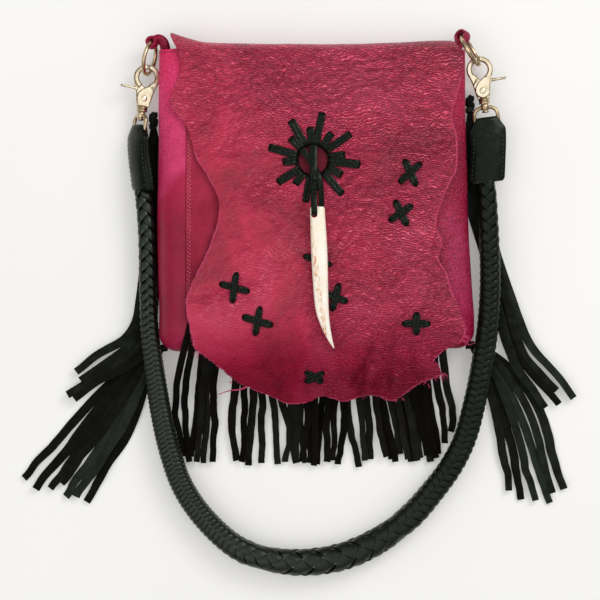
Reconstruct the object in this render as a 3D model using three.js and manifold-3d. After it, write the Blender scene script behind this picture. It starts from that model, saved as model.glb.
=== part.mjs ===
// Fringe crossbody bag, lying on its back with the flap uppermost
// Millimetres. +Z is up, +Y runs from the bag's bottom to its mouth.
// The origin is on the underside of the back panel, in the middle of the pouch.

import * as THREE from 'three';
import { mergeVertices } from 'three/addons/utils/BufferGeometryUtils.js';
import Module from 'manifold-3d';

const wasm = await Module();
wasm.setup();

// Leather, lace and suede
const HIDE = 2; // thickness of the body and flap leather
const GAP = 0.35; // clearance between pieces that touch
const LACE_WIDTH = 4.3;
const TOGGLE_LACE_WIDTH = 3.6;
const LACE_THICKNESS = 1.4;
const SUEDE_WIDTH = 5.6;
const SUEDE_THICKNESS = 1.6;
const FLOOR_CLEARANCE = 0.2;

// Pouch
const MOUTH_Y = 113.5;
const SEAM_LEFT = -100; // where the front panel meets the gusset
const SEAM_RIGHT = 101;
const SEAM_BOTTOM = -104;
const SEAM_CORNER = 8;
const BOTTOM_LEFT = -126; // the gusset's lowest reach, at its left and right corners
const BOTTOM_RIGHT = -123.5;
const BOTTOM_CORNER = 14;
const BACK_INSET = 7; // the back seam lies this far inside the gusset's bulge
const BACK_LIP = 2.5; // the back panel reaches this far past the back seam
const GUSSET_FOOT = -55; // angle of the gusset's section where it meets the back, in degrees
const CROWN = 3; // the front panel's rise in the middle
const CROWN_FADE = 30; // length over which the rise dies out above the bottom seam

// Sections up the body: the gussets' outermost reach, the pouch's depth, and the height of the
// gusset's bulge as a share of that depth
const BODY_ROWS = [
  { y: -96, left: -122.5, right: 127.8, depth: 42, bulge: 0.43 },
  { y: -40, left: -124, right: 124.3, depth: 41, bulge: 0.43 },
  { y: 10, left: -123.8, right: 122.6, depth: 38.5, bulge: 0.45 },
  { y: 60, left: -122.6, right: 121, depth: 33.5, bulge: 0.58 },
  { y: MOUTH_Y, left: -122.4, right: 120.6, depth: 27, bulge: 0.7 },
];

// Flap
const FLAP_TOP = 111; // where the fold ends and the front of the flap begins
const TAIL_END = 96; // the flap's end inside the back panel
const TAIL_Z = 2 + GAP + HIDE / 2;
const FLAP_CORNER_LEFT = { x: -92.5, y: -122.4 };
const FLAP_CORNER_RIGHT = { x: 101, y: -141.3 };
const FLAP_COLUMNS = 16;
const FLAP_ROWS = 18;
const FLAP_BUNCHING = 1.25; // rows lie closer together towards the bottom edge
const HOLE = { x: -0.2, y: 24.6, radius: 12.5 };

// The raw edge of the flap: left and right edges by height, bottom edge by width
const FLAP_LEFT = [
  { y: -122.4, x: -92.5 },
  { y: -108, x: -96 },
  { y: -89, x: -99.3 },
  { y: -75, x: -96.3 },
  { y: -43, x: -81 },
  { y: -10, x: -73.3 },
  { y: 14, x: -84 },
  { y: 24, x: -90.6 },
  { y: 50, x: -98.8 },
  { y: 70, x: -112 },
  { y: 86, x: -106.4 },
  { y: 99, x: -103.4 },
  { y: 111, x: -106.2 },
];
const FLAP_RIGHT = [
  { y: -141.3, x: 101 },
  { y: -137, x: 99 },
  { y: -131, x: 94.6 },
  { y: -121.6, x: 103.3 },
  { y: -117, x: 112.6 },
  { y: -107, x: 118.6 },
  { y: -81, x: 109.3 },
  { y: -62, x: 103.5 },
  { y: -51, x: 97.2 },
  { y: -39, x: 100.3 },
  { y: -24, x: 95.8 },
  { y: 5, x: 105.3 },
  { y: 17, x: 111.5 },
  { y: 41, x: 112.6 },
  { y: 60, x: 109 },
  { y: 87, x: 116 },
  { y: 101, x: 118.3 },
  { y: 111, x: 116.5 },
];
const FLAP_BOTTOM = [
  { x: -92.5, y: -122.4 },
  { x: -80, y: -131.7 },
  { x: -60, y: -148 },
  { x: -31, y: -161.5 },
  { x: -20, y: -166.5 },
  { x: -6, y: -165.6 },
  { x: 8, y: -160.5 },
  { x: 26, y: -164.3 },
  { x: 46, y: -158.6 },
  { x: 64, y: -163.2 },
  { x: 78, y: -154.3 },
  { x: 92, y: -146.5 },
  { x: 101, y: -141.3 },
];

// The fold over the mouth: its turn in degrees from the tail to the front, and its reach each side
const FOLD_TURNS = [
  { turn: -90, left: -104, right: 104 },
  { turn: 0, left: -110.5, right: 107 },
  { turn: 45, left: -110, right: 112 },
  { turn: 90, left: -106.2, right: 116.5 },
];
const FOLD_STEPS = 5;

// The fold's outermost line, which stands up into a point at the left
const FOLD_LINE = [
  { x: -112, y: 126.3 },
  { x: -98, y: 122.6 },
  { x: -84, y: 119.8 },
  { x: -30, y: 118.2 },
  { x: 37, y: 118.4 },
  { x: 97, y: 121 },
  { x: 113, y: 121 },
];

// How the flap stands over the pouch, droops past its sides and hangs over its bottom
const FLAP_LIFT = [
  { y: -100, lift: 5.1 },
  { y: -60, lift: 3.3 },
  { y: 20, lift: 1.2 },
  { y: 113, lift: 2.4 },
];
const SIDE_DROOP = [
  { out: 0, drop: 0 },
  { out: 5, drop: 0.4 },
  { out: 10, drop: 1.4 },
  { out: 15, drop: 3.2 },
  { out: 20, drop: 5.8 },
];
const BOTTOM_DROOP = [
  { below: 0, drop: 0 },
  { below: 12, drop: 1 },
  { below: 22, drop: 3.6 },
  { below: 32, drop: 8 },
  { below: 45, drop: 15.5 },
  { below: 58, drop: 22 },
  { below: 70, drop: 26 },
];
const DROOP_START = -100; // height below which the flap begins to hang
const RUFFLE = { rise: 1.2, length: 41 }; // waves along the hanging bottom edge

// Bottom fringe: each strip's place half way, low down, at its tip, and where it ends
const HEADER = { top: -70, bottom: -77, left: -101.5, right: 98.5, columns: 5 };
const FRINGE_STRIPS = [
  { mid: -108, low: -109, tip: -102, end: -209 },
  { mid: -101, low: -102, tip: -99, end: -214 },
  { mid: -90, low: -93, tip: -98, end: -210 },
  { mid: -87, low: -90, tip: -93, end: -214 },
  { mid: -84, low: -85, tip: -87, end: -215 },
  { mid: -79, low: -79, tip: -80, end: -214 },
  { mid: -61, low: -65, tip: -61, end: -213 },
  { mid: -55, low: -55, tip: -56, end: -214 },
  { mid: -47, low: -49, tip: -52, end: -217 },
  { mid: -41, low: -41, tip: -41, end: -215 },
  { mid: -34, low: -30, tip: -28, end: -216 },
  { mid: -28, low: -21, tip: -13, end: -215 },
  { mid: -17, low: -18, tip: -22, end: -214 },
  { mid: -12, low: -10, tip: -6, end: -215 },
  { mid: -6, low: -4, tip: -9, end: -214 },
  { mid: 1, low: 2, tip: 1, end: -217 },
  { mid: 8, low: 6, tip: 3, end: -216 },
  { mid: 13, low: 11, tip: 11, end: -214 },
  { mid: 18, low: 17, tip: 16, end: -213 },
  { mid: 21, low: 25, tip: 20, end: -216 },
  { mid: 26, low: 29, tip: 37, end: -218 },
  { mid: 34, low: 39, tip: 41, end: -213 },
  { mid: 40, low: 44, tip: 46, end: -212 },
  { mid: 48, low: 52, tip: 58, end: -210 },
  { mid: 53, low: 59, tip: 66, end: -214 },
  { mid: 59, low: 66, tip: 70, end: -208 },
  { mid: 67, low: 74, tip: 79, end: -214 },
  { mid: 74, low: 81, tip: 86, end: -211 },
  { mid: 82, low: 88, tip: 94, end: -214 },
  { mid: 90, low: 96, tip: 100, end: -208 },
  { mid: 98, low: 104, tip: 105, end: -199 },
  { mid: 106, low: 112, tip: 110, end: -190 },
];
const FRINGE_MID_Y = -150;
const FRINGE_LOW_Y = -180;
const FRINGE_STOPS = [-103, -113, -123, -138];
const FRINGE_LAYER = 1.9; // every second strip climbs onto its neighbours under the flap
const FRINGE_LAYER_START = -76;
const FRINGE_LAYER_END = -103;

// Height of the fringe as it leaves the front panel and falls to the surface
const FRINGE_FALL = [
  { below: 0, z: 43.6 },
  { below: 10, z: 42.6 },
  { below: 20, z: 38.6 },
  { below: 28, z: 30.5 },
  { below: 38, z: 19 },
  { below: 50, z: 9.5 },
  { below: 64, z: 3.6 },
  { below: 80, z: 1.5 },
  { below: 120, z: 1.1 },
];

// Tassels: a knot against the gusset, a shared way down with its strips spread side by side, and
// each strip's bend and tip. Turn is the direction of the spread, lay the height off the surface.
const TASSELS = [
  {
    name: 'left_side_tassel',
    knot: { x: -127, y: 58, z: 10, across: 3.6, along: 9, tall: 5 },
    way: [
      { x: -127, y: 42, z: 4.4, spread: 5 },
      { x: -128.5, y: 8, z: 3, spread: 9 },
      { x: -131, y: -70, z: 3, spread: 10 },
    ],
    turn: 0,
    lay: 3.4,
    taper: 0.2,
    strips: [
      { bendX: -145, bendY: -110, tipX: -189, tipY: -142 },
      { bendX: -141, bendY: -115, tipX: -185, tipY: -149 },
      { bendX: -139, bendY: -121, tipX: -196, tipY: -160 },
      { bendX: -135, bendY: -125, tipX: -190, tipY: -164 },
    ],
  },
  {
    name: 'right_side_tassel',
    knot: { x: 125, y: 71, z: 6.6, across: 3.6, along: 9.5, tall: 4.6 },
    way: [
      { x: 126, y: 54, z: 4, spread: 5 },
      { x: 127.5, y: 4, z: 3, spread: 9 },
      { x: 143, y: -52, z: 3, spread: 10 },
    ],
    turn: 180,
    lay: 3,
    taper: 0.2,
    strips: [
      { bendX: 173, bendY: -119, tipX: 208, tipY: -163 },
      { bendX: 168, bendY: -124, tipX: 194, tipY: -157 },
      { bendX: 165, bendY: -130, tipX: 196, tipY: -168 },
      { bendX: 160, bendY: -133, tipX: 186, tipY: -170 },
    ],
  },
  {
    name: 'left_corner_tassel',
    knot: { x: -119.4, y: -123.1, z: 7.5, across: 3.6, along: 3.6, tall: 3.8 },
    way: [
      { x: -124.5, y: -128, z: 3.4, spread: 5 },
      { x: -134, y: -136, z: 2.2, spread: 14 },
    ],
    turn: -45,
    lay: 0,
    taper: 0.42,
    strips: [
      { bendX: -171, bendY: -160, tipX: -231, tipY: -227 },
      { bendX: -167, bendY: -166, tipX: -221, tipY: -236 },
      { bendX: -163, bendY: -172, tipX: -210, tipY: -235 },
      { bendX: -160, bendY: -177, tipX: -201, tipY: -231 },
      { bendX: -157, bendY: -183, tipX: -197, tipY: -242 },
      { bendX: -152, bendY: -185, tipX: -189, tipY: -242 },
      { bendX: -147, bendY: -189, tipX: -181, tipY: -246 },
    ],
  },
  {
    name: 'right_corner_tassel',
    knot: { x: 125, y: -120.6, z: 7.5, across: 3.6, along: 3.6, tall: 3.8 },
    way: [
      { x: 130, y: -125, z: 3.4, spread: 5 },
      { x: 140, y: -133, z: 2.2, spread: 14 },
    ],
    turn: -135,
    lay: 0,
    taper: 0.42,
    strips: [
      { bendX: 177, bendY: -165, tipX: 200, tipY: -236 },
      { bendX: 171, bendY: -171, tipX: 191, tipY: -239 },
      { bendX: 166, bendY: -178, tipX: 189, tipY: -247 },
      { bendX: 160, bendY: -181, tipX: 177, tipY: -245 },
      { bendX: 154, bendY: -184, tipX: 167, tipY: -244 },
      { bendX: 147, bendY: -181, tipX: 156, tipY: -237 },
    ],
  },
];
const TASSEL_ROOT = 2.6; // width of a strip where it leaves the knot
const TASSEL_WIDTH = 6.4;
const TASSEL_STEPS = 6;

// Braided strap: the route of its centre line and its radius along it
const STRAP_ROUTE = [
  { x: -136.1, y: 10, z: 14.8 },
  { x: -135, y: 1.7, z: 15 },
  { x: -133.2, y: -12, z: 14.6 },
  { x: -131.6, y: -37, z: 13.6 },
  { x: -131, y: -80, z: 13 },
  { x: -129.4, y: -112, z: 15 },
  { x: -126, y: -140, z: 15 },
  { x: -120.6, y: -176, z: 11.4 },
  { x: -113.6, y: -206, z: 11.4 },
  { x: -103.6, y: -233.5, z: 10.2 },
  { x: -86, y: -259, z: 10.1 },
  { x: -60.5, y: -281.5, z: 10.9 },
  { x: -38.2, y: -290, z: 11.6 },
  { x: -10, y: -293.3, z: 11.8 },
  { x: 22, y: -289, z: 11.6 },
  { x: 51.7, y: -276, z: 11.5 },
  { x: 77.5, y: -256.6, z: 11.3 },
  { x: 94.5, y: -237.5, z: 11 },
  { x: 110, y: -216.4, z: 12 },
  { x: 120.6, y: -195, z: 11.6 },
  { x: 128.6, y: -164.4, z: 14 },
  { x: 134, y: -136.5, z: 15.4 },
  { x: 138.6, y: -104.7, z: 15.7 },
  { x: 140.4, y: -76.8, z: 15.5 },
  { x: 140, y: -45, z: 15.5 },
  { x: 138.6, y: -10, z: 14.8 },
  { x: 137.7, y: 8.3, z: 14.5 },
  { x: 138.1, y: 16.5, z: 14.5 },
];
const STRAP_STEPS = 34;
const STRAP_SIDES = 8;
const STRAP_RADIUS = [
  { along: 0, radius: 4.2 },
  { along: 0.012, radius: 4.4 },
  { along: 0.028, radius: 6.2 },
  { along: 0.14, radius: 6.4 },
  { along: 0.26, radius: 8.4 },
  { along: 0.4, radius: 9.4 },
  { along: 0.5, radius: 11 },
  { along: 0.57, radius: 11 },
  { along: 0.68, radius: 9.5 },
  { along: 0.82, radius: 8.7 },
  { along: 0.962, radius: 8 },
  { along: 0.986, radius: 4.4 },
  { along: 1, radius: 4.3 },
];

// Trigger snaps, measured from the centre of the jaw with +y away from the eye
const JAW = { inner: 6.4, outer: 10.4, half: 2.2 };
const RIVET = { y: -17, radius: 2.1, bore: 2.5, plate: 6.2, head: 2.9 };
const LAYER_GAP = 0.3; // between the body's plate and the gate's plate
const COLLAR = { top: -24.6, bottom: -27.6, radius: 4.5 };
const SWIVEL = { post: 1.7, bore: 2.1, boss: 3.3, bossTop: -28, bossBottom: -32.4, head: 2.8 };
const EYE = { half: 9.25, top: -30.3, bar: -44, corner: 3, wire: 1.5 };
const SNAPS = [
  {
    side: 'left',
    place: { x: -132.1, y: 91.9, z: 11.2 },
    tilt: -8.5,
    pitch: -2.5,
    flip: 192,
    roll: -58,
    ring: { lean: 9, rise: 15, seat: 2.9 },
  },
  {
    side: 'right',
    place: { x: 132.1, y: 98, z: 14.5 },
    tilt: 8,
    pitch: 0,
    flip: 0,
    roll: 0,
    ring: { lean: -31.2, rise: 0, seat: 4 },
  },
];

// Rings: they stand steeply, with one arc high and the other low
const RING = { radius: 12.9, wire: 1.6, steep: 75 };

// Tabs: from the ring over the mouth's edge to where they are sewn inside the gusset
const TAB = { width: 7, thickness: 2.2, loop: 3.5, legs: 1.25, steps: 20 };
const TAB_WAYS = {
  left: [
    { x: -118.6, y: 118, z: 15.6 },
    { x: -113.6, y: 112.5, z: 13 },
    { x: -113, y: 104, z: 12 },
  ],
  right: [
    { x: 114.8, y: 116.5, z: 14 },
    { x: 112.4, y: 111, z: 13 },
    { x: 112, y: 104, z: 12.5 },
  ],
};

// Sleeves: sections from the top fold to the open end; bend follows the strap sideways
const SLEEVE_TOP = -40.1;
const SLEEVE_ROWS = [
  { along: 0, half: 6.8, thick: 2.6 },
  { along: 1.6, half: 7.1, thick: 3.8 },
  { along: 5.6, half: 7.2, thick: 4 },
  { along: 10, half: 12.4, thick: 4.4 },
  { along: 14, half: 14.2, thick: 4.8 },
  { along: 30, half: 14.4, thick: 6 },
  { along: 49.5, half: 14.6, thick: 6.6 },
];
const SLEEVE_BEND = { left: 13.5, right: -8.9 };
const SLEEVE_FLANGE = 1.9; // half thickness of the two stitched layers at the edges
const SLEEVE_SOCKET = { radius: 4.9, depth: 14 };
const SLEEVE_SIDES = 12;

// Bone point: its left and right edges, thickness and height along its length
const BONE_ROWS = [
  { y: -122.1, left: 15.4, right: 16.4, thick: 1.2, z: 49.8 },
  { y: -114.4, left: 10.4, right: 14.6, thick: 3.2, z: 51.8 },
  { y: -104.6, left: 5.6, right: 13, thick: 5, z: 54.0 },
  { y: -92.6, left: 1.7, right: 11.9, thick: 6.4, z: 55.6 },
  { y: -70.5, left: -0.5, right: 11.4, thick: 7.6, z: 57.0 },
  { y: -46.7, left: -1.8, right: 10.8, thick: 8, z: 57.2 },
  { y: -18.7, left: -2.6, right: 9.1, thick: 7.4, z: 56.0 },
  { y: -12.5, left: -2.6, right: 8.7, thick: 6.6, z: 55.6 },
];
const BONE_STEPS = 9;
const BONE_SIDES = 10;
const BONE_HOLE = { x: 0.6, y: -18.6, radius: 2.7 };

// Sunburst lacing: rays round the hole, long and short in turn
const RAYS = { count: 16, first: -8, inner: 12.2, root: 5.6, long: 37, short: 25.6 };

// Cross stitches: the middle of each cross, and its lower and upper strand as angle and length
const CROSSES = [
  { x: 75.7, y: 14.6, lower: -66, lowerLength: 24, upper: 42, upperLength: 24.5 },
  { x: 68.3, y: -17, lower: -64, lowerLength: 23, upper: 34, upperLength: 23 },
  { x: -61.4, y: -75.2, lower: -15, lowerLength: 25, upper: 82, upperLength: 24.5 },
  { x: -43.4, y: -101.2, lower: -16, lowerLength: 25.5, upper: 80, upperLength: 23.5 },
  { x: 0.8, y: -145, lower: -31, lowerLength: 17.4, upper: 27, upperLength: 17.7 },
  { x: 17.2, y: -82.6, lower: -21, lowerLength: 21, upper: 75, upperLength: 22.7 },
  { x: 80.2, y: -103.2, lower: -1, lowerLength: 22.8, upper: 90, upperLength: 18 },
  { x: 3.4, y: -54, lower: -18, lowerLength: 24, upper: 72, upperLength: 20 },
];
const CROSS_RISE = 1.1; // how far the upper strand climbs over the lower one
const LACE_BED = 0.55; // clearance between the flap and the lace on it
const STRAND_STEPS = 2;

// Colours
const WINE = 0x9c2a44;
const PINK = 0xa63457;
const BLACK = 0x17181a;
const BRASS = 0xcdb68a;
const BONE = 0xf1e7d2;

const UP = new THREE.Vector3(0, 0, 1);
const bag = new THREE.Group();

function point(x, y, z) {
  return new THREE.Vector3(x, y, z);
}

function radians(degrees) {
  return THREE.MathUtils.degToRad(degrees);
}

// A smooth value between the rows of a table, which rise in their key column
function read(rows, key, column, at) {
  const last = rows.length - 1;
  if (at <= rows[0][key]) return rows[0][column];
  if (at >= rows[last][key]) return rows[last][column];
  const i = rows.findIndex((row) => row[key] > at) - 1;
  const slope = (k) => {
    const before = rows[Math.max(k - 1, 0)];
    const after = rows[Math.min(k + 1, last)];
    return (after[column] - before[column]) / (after[key] - before[key]);
  };
  const span = rows[i + 1][key] - rows[i][key];
  const t = (at - rows[i][key]) / span;
  const start = rows[i][column] * (2 * t ** 3 - 3 * t ** 2 + 1);
  const end = rows[i + 1][column] * (3 * t ** 2 - 2 * t ** 3);
  const leave = slope(i) * span * (t ** 3 - 2 * t ** 2 + t);
  const arrive = slope(i + 1) * span * (t ** 3 - t ** 2);
  return start + end + leave + arrive;
}

// A closed body from points and triangles, turned so that its faces point out
function body(points, faces) {
  const volume = faces.reduce((sum, [a, b, c]) => {
    return sum + points[a].dot(point().crossVectors(points[b], points[c]));
  }, 0);
  const index = volume < 0 ? faces.map(([a, b, c]) => [a, c, b]) : faces;
  const geometry = new THREE.BufferGeometry();
  geometry.setFromPoints(points);
  geometry.setIndex(index.flat());
  return geometry;
}

// A body lofted through rings of equal point count, closed at both ends
function loft(rings) {
  const count = rings[0].length;
  const faces = [];
  for (let i = 0; i + 1 < rings.length; i++) {
    for (let j = 0; j < count; j++) {
      const a = i * count + j;
      const b = i * count + ((j + 1) % count);
      faces.push([a, b, a + count], [b, b + count, a + count]);
    }
  }
  const end = (rings.length - 1) * count;
  for (let j = 1; j + 1 < count; j++) {
    faces.push([0, j + 1, j], [end, end + j, end + j + 1]);
  }
  return body(rings.flat(), faces);
}

// A wall of even thickness on both sides of a grid of points
function wall(grid, thickness) {
  const rows = grid.length;
  const columns = grid[0].length;
  const upper = [];
  const lower = [];
  for (let i = 0; i < rows; i++) {
    for (let j = 0; j < columns; j++) {
      const across = grid[i][Math.min(j + 1, columns - 1)].clone();
      across.sub(grid[i][Math.max(j - 1, 0)]);
      const along = grid[Math.min(i + 1, rows - 1)][j].clone();
      along.sub(grid[Math.max(i - 1, 0)][j]);
      const normal = along.cross(across).normalize().multiplyScalar(thickness / 2);
      upper.push(grid[i][j].clone().add(normal));
      lower.push(grid[i][j].clone().sub(normal));
    }
  }
  const under = rows * columns;
  const faces = [];
  const quad = (a, b, c, d) => faces.push([a, b, c], [a, c, d]);
  for (let i = 0; i + 1 < rows; i++) {
    for (let j = 0; j + 1 < columns; j++) {
      const a = i * columns + j;
      quad(a, a + columns, a + columns + 1, a + 1);
      quad(under + a, under + a + 1, under + a + columns + 1, under + a + columns);
    }
  }
  for (let j = 0; j + 1 < columns; j++) {
    const top = j;
    const bottom = (rows - 1) * columns + j;
    quad(top, top + 1, under + top + 1, under + top);
    quad(bottom, under + bottom, under + bottom + 1, bottom + 1);
  }
  for (let i = 0; i + 1 < rows; i++) {
    const left = i * columns;
    const right = left + columns - 1;
    quad(left, under + left, under + left + columns, left + columns);
    quad(right, right + columns, under + right + columns, under + right);
  }
  return body([...upper, ...lower], faces);
}

// The four corners of a strip's section, its width level or along a given direction
function stripRing(middle, ahead, width, thickness, { widthways, facing = UP }) {
  const side = widthways ? widthways.clone() : ahead.clone().cross(facing).normalize();
  const face = side.clone().cross(ahead).normalize();
  const corner = (w, t) => middle.clone().addScaledVector(side, w).addScaledVector(face, t);
  return [
    corner(width / 2, thickness / 2),
    corner(-width / 2, thickness / 2),
    corner(-width / 2, -thickness / 2),
    corner(width / 2, -thickness / 2),
  ];
}

// A flat strip along a smooth route, its width given by the share of the way along it
function strip(route, widthAt, thickness, steps, widthways) {
  const curve = new THREE.CatmullRomCurve3(route, false, 'centripetal');
  const rings = [];
  for (let k = 0; k <= steps; k++) {
    const middle = curve.getPointAt(k / steps);
    const ahead = curve.getTangentAt(k / steps);
    rings.push(stripRing(middle, ahead, widthAt(k / steps), thickness, { widthways }));
  }
  return loft(rings);
}

// A flat strip from stop to stop, facing up or along the directions given for its stops
function linked(stops, width, thickness, facings = []) {
  const last = stops.length - 1;
  const rings = stops.map((stop, k) => {
    const ahead = stops[Math.min(k + 1, last)].clone().sub(stops[Math.max(k - 1, 0)]).normalize();
    return stripRing(stop, ahead, width, thickness, { facing: facings[k] });
  });
  return loft(rings);
}

// A round bar between two points
function bar(from, to, radius, sides) {
  const outline = new THREE.Shape();
  for (let k = 0; k < sides; k++) {
    const turn = (2 * Math.PI * k) / sides;
    const place = [radius * Math.cos(turn), radius * Math.sin(turn)];
    if (k === 0) outline.moveTo(...place);
    else outline.lineTo(...place);
  }
  const path = new THREE.LineCurve3(from, to);
  return new THREE.ExtrudeGeometry(outline, { extrudePath: path, steps: 1, bevelEnabled: false });
}

// A flat plate of a given outline between two heights
function plate(outline, bottom, top, segments) {
  const geometry = new THREE.ExtrudeGeometry(outline, {
    depth: top - bottom,
    bevelEnabled: false,
    curveSegments: segments,
  });
  return geometry.translate(0, 0, bottom);
}

function polygon(corners) {
  return new THREE.Shape(corners.map(([x, y]) => new THREE.Vector2(x, y)));
}

function toSolid(geometry) {
  const bare = geometry.clone();
  bare.deleteAttribute('normal');
  bare.deleteAttribute('uv');
  const merged = mergeVertices(bare, 1e-4);
  const mesh = new wasm.Mesh({
    numProp: 3,
    vertProperties: new Float32Array(merged.attributes.position.array),
    triVerts: new Uint32Array(merged.index.array),
  });
  return new wasm.Manifold(mesh);
}

function toGeometry(solid) {
  const mesh = solid.getMesh();
  const geometry = new THREE.BufferGeometry();
  geometry.setAttribute('position', new THREE.BufferAttribute(mesh.vertProperties, 3));
  geometry.setIndex(new THREE.BufferAttribute(mesh.triVerts, 1));
  return geometry;
}

function fuse(geometries) {
  return toGeometry(geometries.map(toSolid).reduce((whole, next) => whole.add(next)));
}

function cut(geometry, tools) {
  const whole = toSolid(geometry);
  return toGeometry(tools.reduce((rest, tool) => rest.subtract(toSolid(tool)), whole));
}

function add(parent, name, geometry, colour, roughness, metalness = 0) {
  const material = new THREE.MeshStandardMaterial({ color: colour, roughness, metalness });
  const mesh = new THREE.Mesh(geometry, material);
  mesh.name = name;
  parent.add(mesh);
}

// Pouch shape
function depthAt(y) {
  return read(BODY_ROWS, 'y', 'depth', y);
}

// Rise of the front above its seams
function crownAt(x, y) {
  const middle = (SEAM_LEFT + SEAM_RIGHT) / 2;
  const share = Math.min(1, Math.abs(x - middle) / ((SEAM_RIGHT - SEAM_LEFT) / 2));
  const fade = THREE.MathUtils.smoothstep(y, SEAM_BOTTOM, SEAM_BOTTOM + CROWN_FADE);
  return CROWN * (1 - share ** 2) * fade;
}

const SIDE_STATIONS = 6;
const CORNER_STATIONS = 4;
const BOTTOM_STATIONS = 5;

// Stations down the left side, round the bottom and up the right side of the pouch
function roundPouch({ leftAt, rightAt, bottomLeft, bottomRight, corner }) {
  const stations = [];
  const lowLeft = bottomLeft + corner;
  const lowRight = bottomRight + corner;
  const cornerLeft = leftAt(lowLeft) + corner;
  const cornerRight = rightAt(lowRight) - corner;
  for (let i = 0; i < SIDE_STATIONS; i++) {
    const y = THREE.MathUtils.lerp(MOUTH_Y, lowLeft, i / SIDE_STATIONS);
    stations.push(new THREE.Vector2(leftAt(y), y));
  }
  for (let i = 0; i <= CORNER_STATIONS; i++) {
    const turn = Math.PI + (Math.PI / 2) * (i / CORNER_STATIONS);
    const x = cornerLeft + corner * Math.cos(turn);
    stations.push(new THREE.Vector2(x, lowLeft + corner * Math.sin(turn)));
  }
  for (let i = 1; i < BOTTOM_STATIONS; i++) {
    const share = i / BOTTOM_STATIONS;
    const x = THREE.MathUtils.lerp(cornerLeft, cornerRight, share);
    stations.push(new THREE.Vector2(x, THREE.MathUtils.lerp(bottomLeft, bottomRight, share)));
  }
  for (let i = 0; i <= CORNER_STATIONS; i++) {
    const turn = 1.5 * Math.PI + (Math.PI / 2) * (i / CORNER_STATIONS);
    const x = cornerRight + corner * Math.cos(turn);
    stations.push(new THREE.Vector2(x, lowRight + corner * Math.sin(turn)));
  }
  for (let i = SIDE_STATIONS - 1; i >= 0; i--) {
    const y = THREE.MathUtils.lerp(MOUTH_Y, lowRight, i / SIDE_STATIONS);
    stations.push(new THREE.Vector2(rightAt(y), y));
  }
  return stations;
}

function bulgeAt(side, inset) {
  return (y) => {
    const reach = read(BODY_ROWS, 'y', side, y);
    return reach - Math.sign(reach) * inset;
  };
}

// An edge of the pouch at a given distance inside the gusset's outermost line
function edgeInside(inset) {
  return {
    leftAt: bulgeAt('left', inset),
    rightAt: bulgeAt('right', inset),
    bottomLeft: BOTTOM_LEFT + inset,
    bottomRight: BOTTOM_RIGHT + inset,
    corner: BOTTOM_CORNER - inset / 2,
  };
}

function seamEdge(inset) {
  return {
    leftAt: () => SEAM_LEFT + inset,
    rightAt: () => SEAM_RIGHT - inset,
    bottomLeft: SEAM_BOTTOM + inset,
    bottomRight: SEAM_BOTTOM + inset,
    corner: SEAM_CORNER - inset,
  };
}

const GUSSET_STEPS = 6;

function gusset() {
  const back = roundPouch(edgeInside(BACK_INSET));
  const outer = roundPouch(edgeInside(HIDE / 2));
  const front = roundPouch(seamEdge(0));
  const foot = HIDE + GAP + HIDE / 2;
  const footCos = Math.cos(radians(GUSSET_FOOT));
  const grid = outer.map((bulge, s) => {
    const depth = depthAt(front[s].y) - HIDE / 2;
    const middle = depth * read(BODY_ROWS, 'y', 'bulge', front[s].y);
    const section = [];
    for (let k = 0; k <= GUSSET_STEPS; k++) {
      const turn = radians(THREE.MathUtils.lerp(GUSSET_FOOT, 90, k / GUSSET_STEPS));
      const low = turn < 0;
      const share = low ? (Math.cos(turn) - footCos) / (1 - footCos) : Math.cos(turn);
      const place = (low ? back[s] : front[s]).clone().lerp(bulge, share);
      const rise = low ? (middle - foot) / -Math.sin(radians(GUSSET_FOOT)) : depth - middle;
      section.push(point(place.x, place.y, middle + rise * Math.sin(turn)));
    }
    return section;
  });
  return wall(grid, HIDE);
}

function backPanel() {
  const rim = roundPouch(edgeInside(BACK_INSET - BACK_LIP));
  return plate(new THREE.Shape(rim), 0, HIDE, 1);
}

const FRONT_COLUMNS = 6;
const FRONT_ROWS = 6;

function frontPanel() {
  const edge = seamEdge(GAP);
  const cornerY = edge.bottomLeft + edge.corner;
  const rows = [];
  for (let i = 0; i < FRONT_ROWS; i++) {
    const y = THREE.MathUtils.lerp(MOUTH_Y - 1.5, cornerY, i / FRONT_ROWS);
    rows.push({ y, pull: 0 });
  }
  for (let i = 0; i <= CORNER_STATIONS; i++) {
    const turn = (Math.PI / 2) * (i / CORNER_STATIONS);
    const y = cornerY - edge.corner * Math.sin(turn);
    rows.push({ y, pull: edge.corner * (1 - Math.cos(turn)) });
  }
  const grid = rows.map(({ y, pull }) => {
    const row = [];
    for (let j = 0; j <= FRONT_COLUMNS; j++) {
      const x = THREE.MathUtils.lerp(edge.leftAt() + pull, edge.rightAt() - pull, j / FRONT_COLUMNS);
      row.push(point(x, y, depthAt(y) + crownAt(x, y) - HIDE / 2));
    }
    return row;
  });
  return wall(grid, HIDE);
}

// Height of the middle of the flap's leather over the pouch
function flapAt(x, y) {
  const out = Math.max(0, x > 0 ? x - SEAM_RIGHT : SEAM_LEFT - x);
  const below = Math.max(0, DROOP_START - y);
  const lift = read(FLAP_LIFT, 'y', 'lift', y);
  const droop = read(SIDE_DROOP, 'out', 'drop', out) + read(BOTTOM_DROOP, 'below', 'drop', below);
  const hang = THREE.MathUtils.smoothstep(below, 22, 55);
  const ruffle = RUFFLE.rise * hang * (1 + Math.sin((2 * Math.PI * x) / RUFFLE.length));
  return depthAt(y) + crownAt(x, y) + lift + HIDE / 2 - droop + ruffle;
}

function flapTopAt(x, y) {
  return flapAt(x, y) + HIDE / 2;
}

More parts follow.
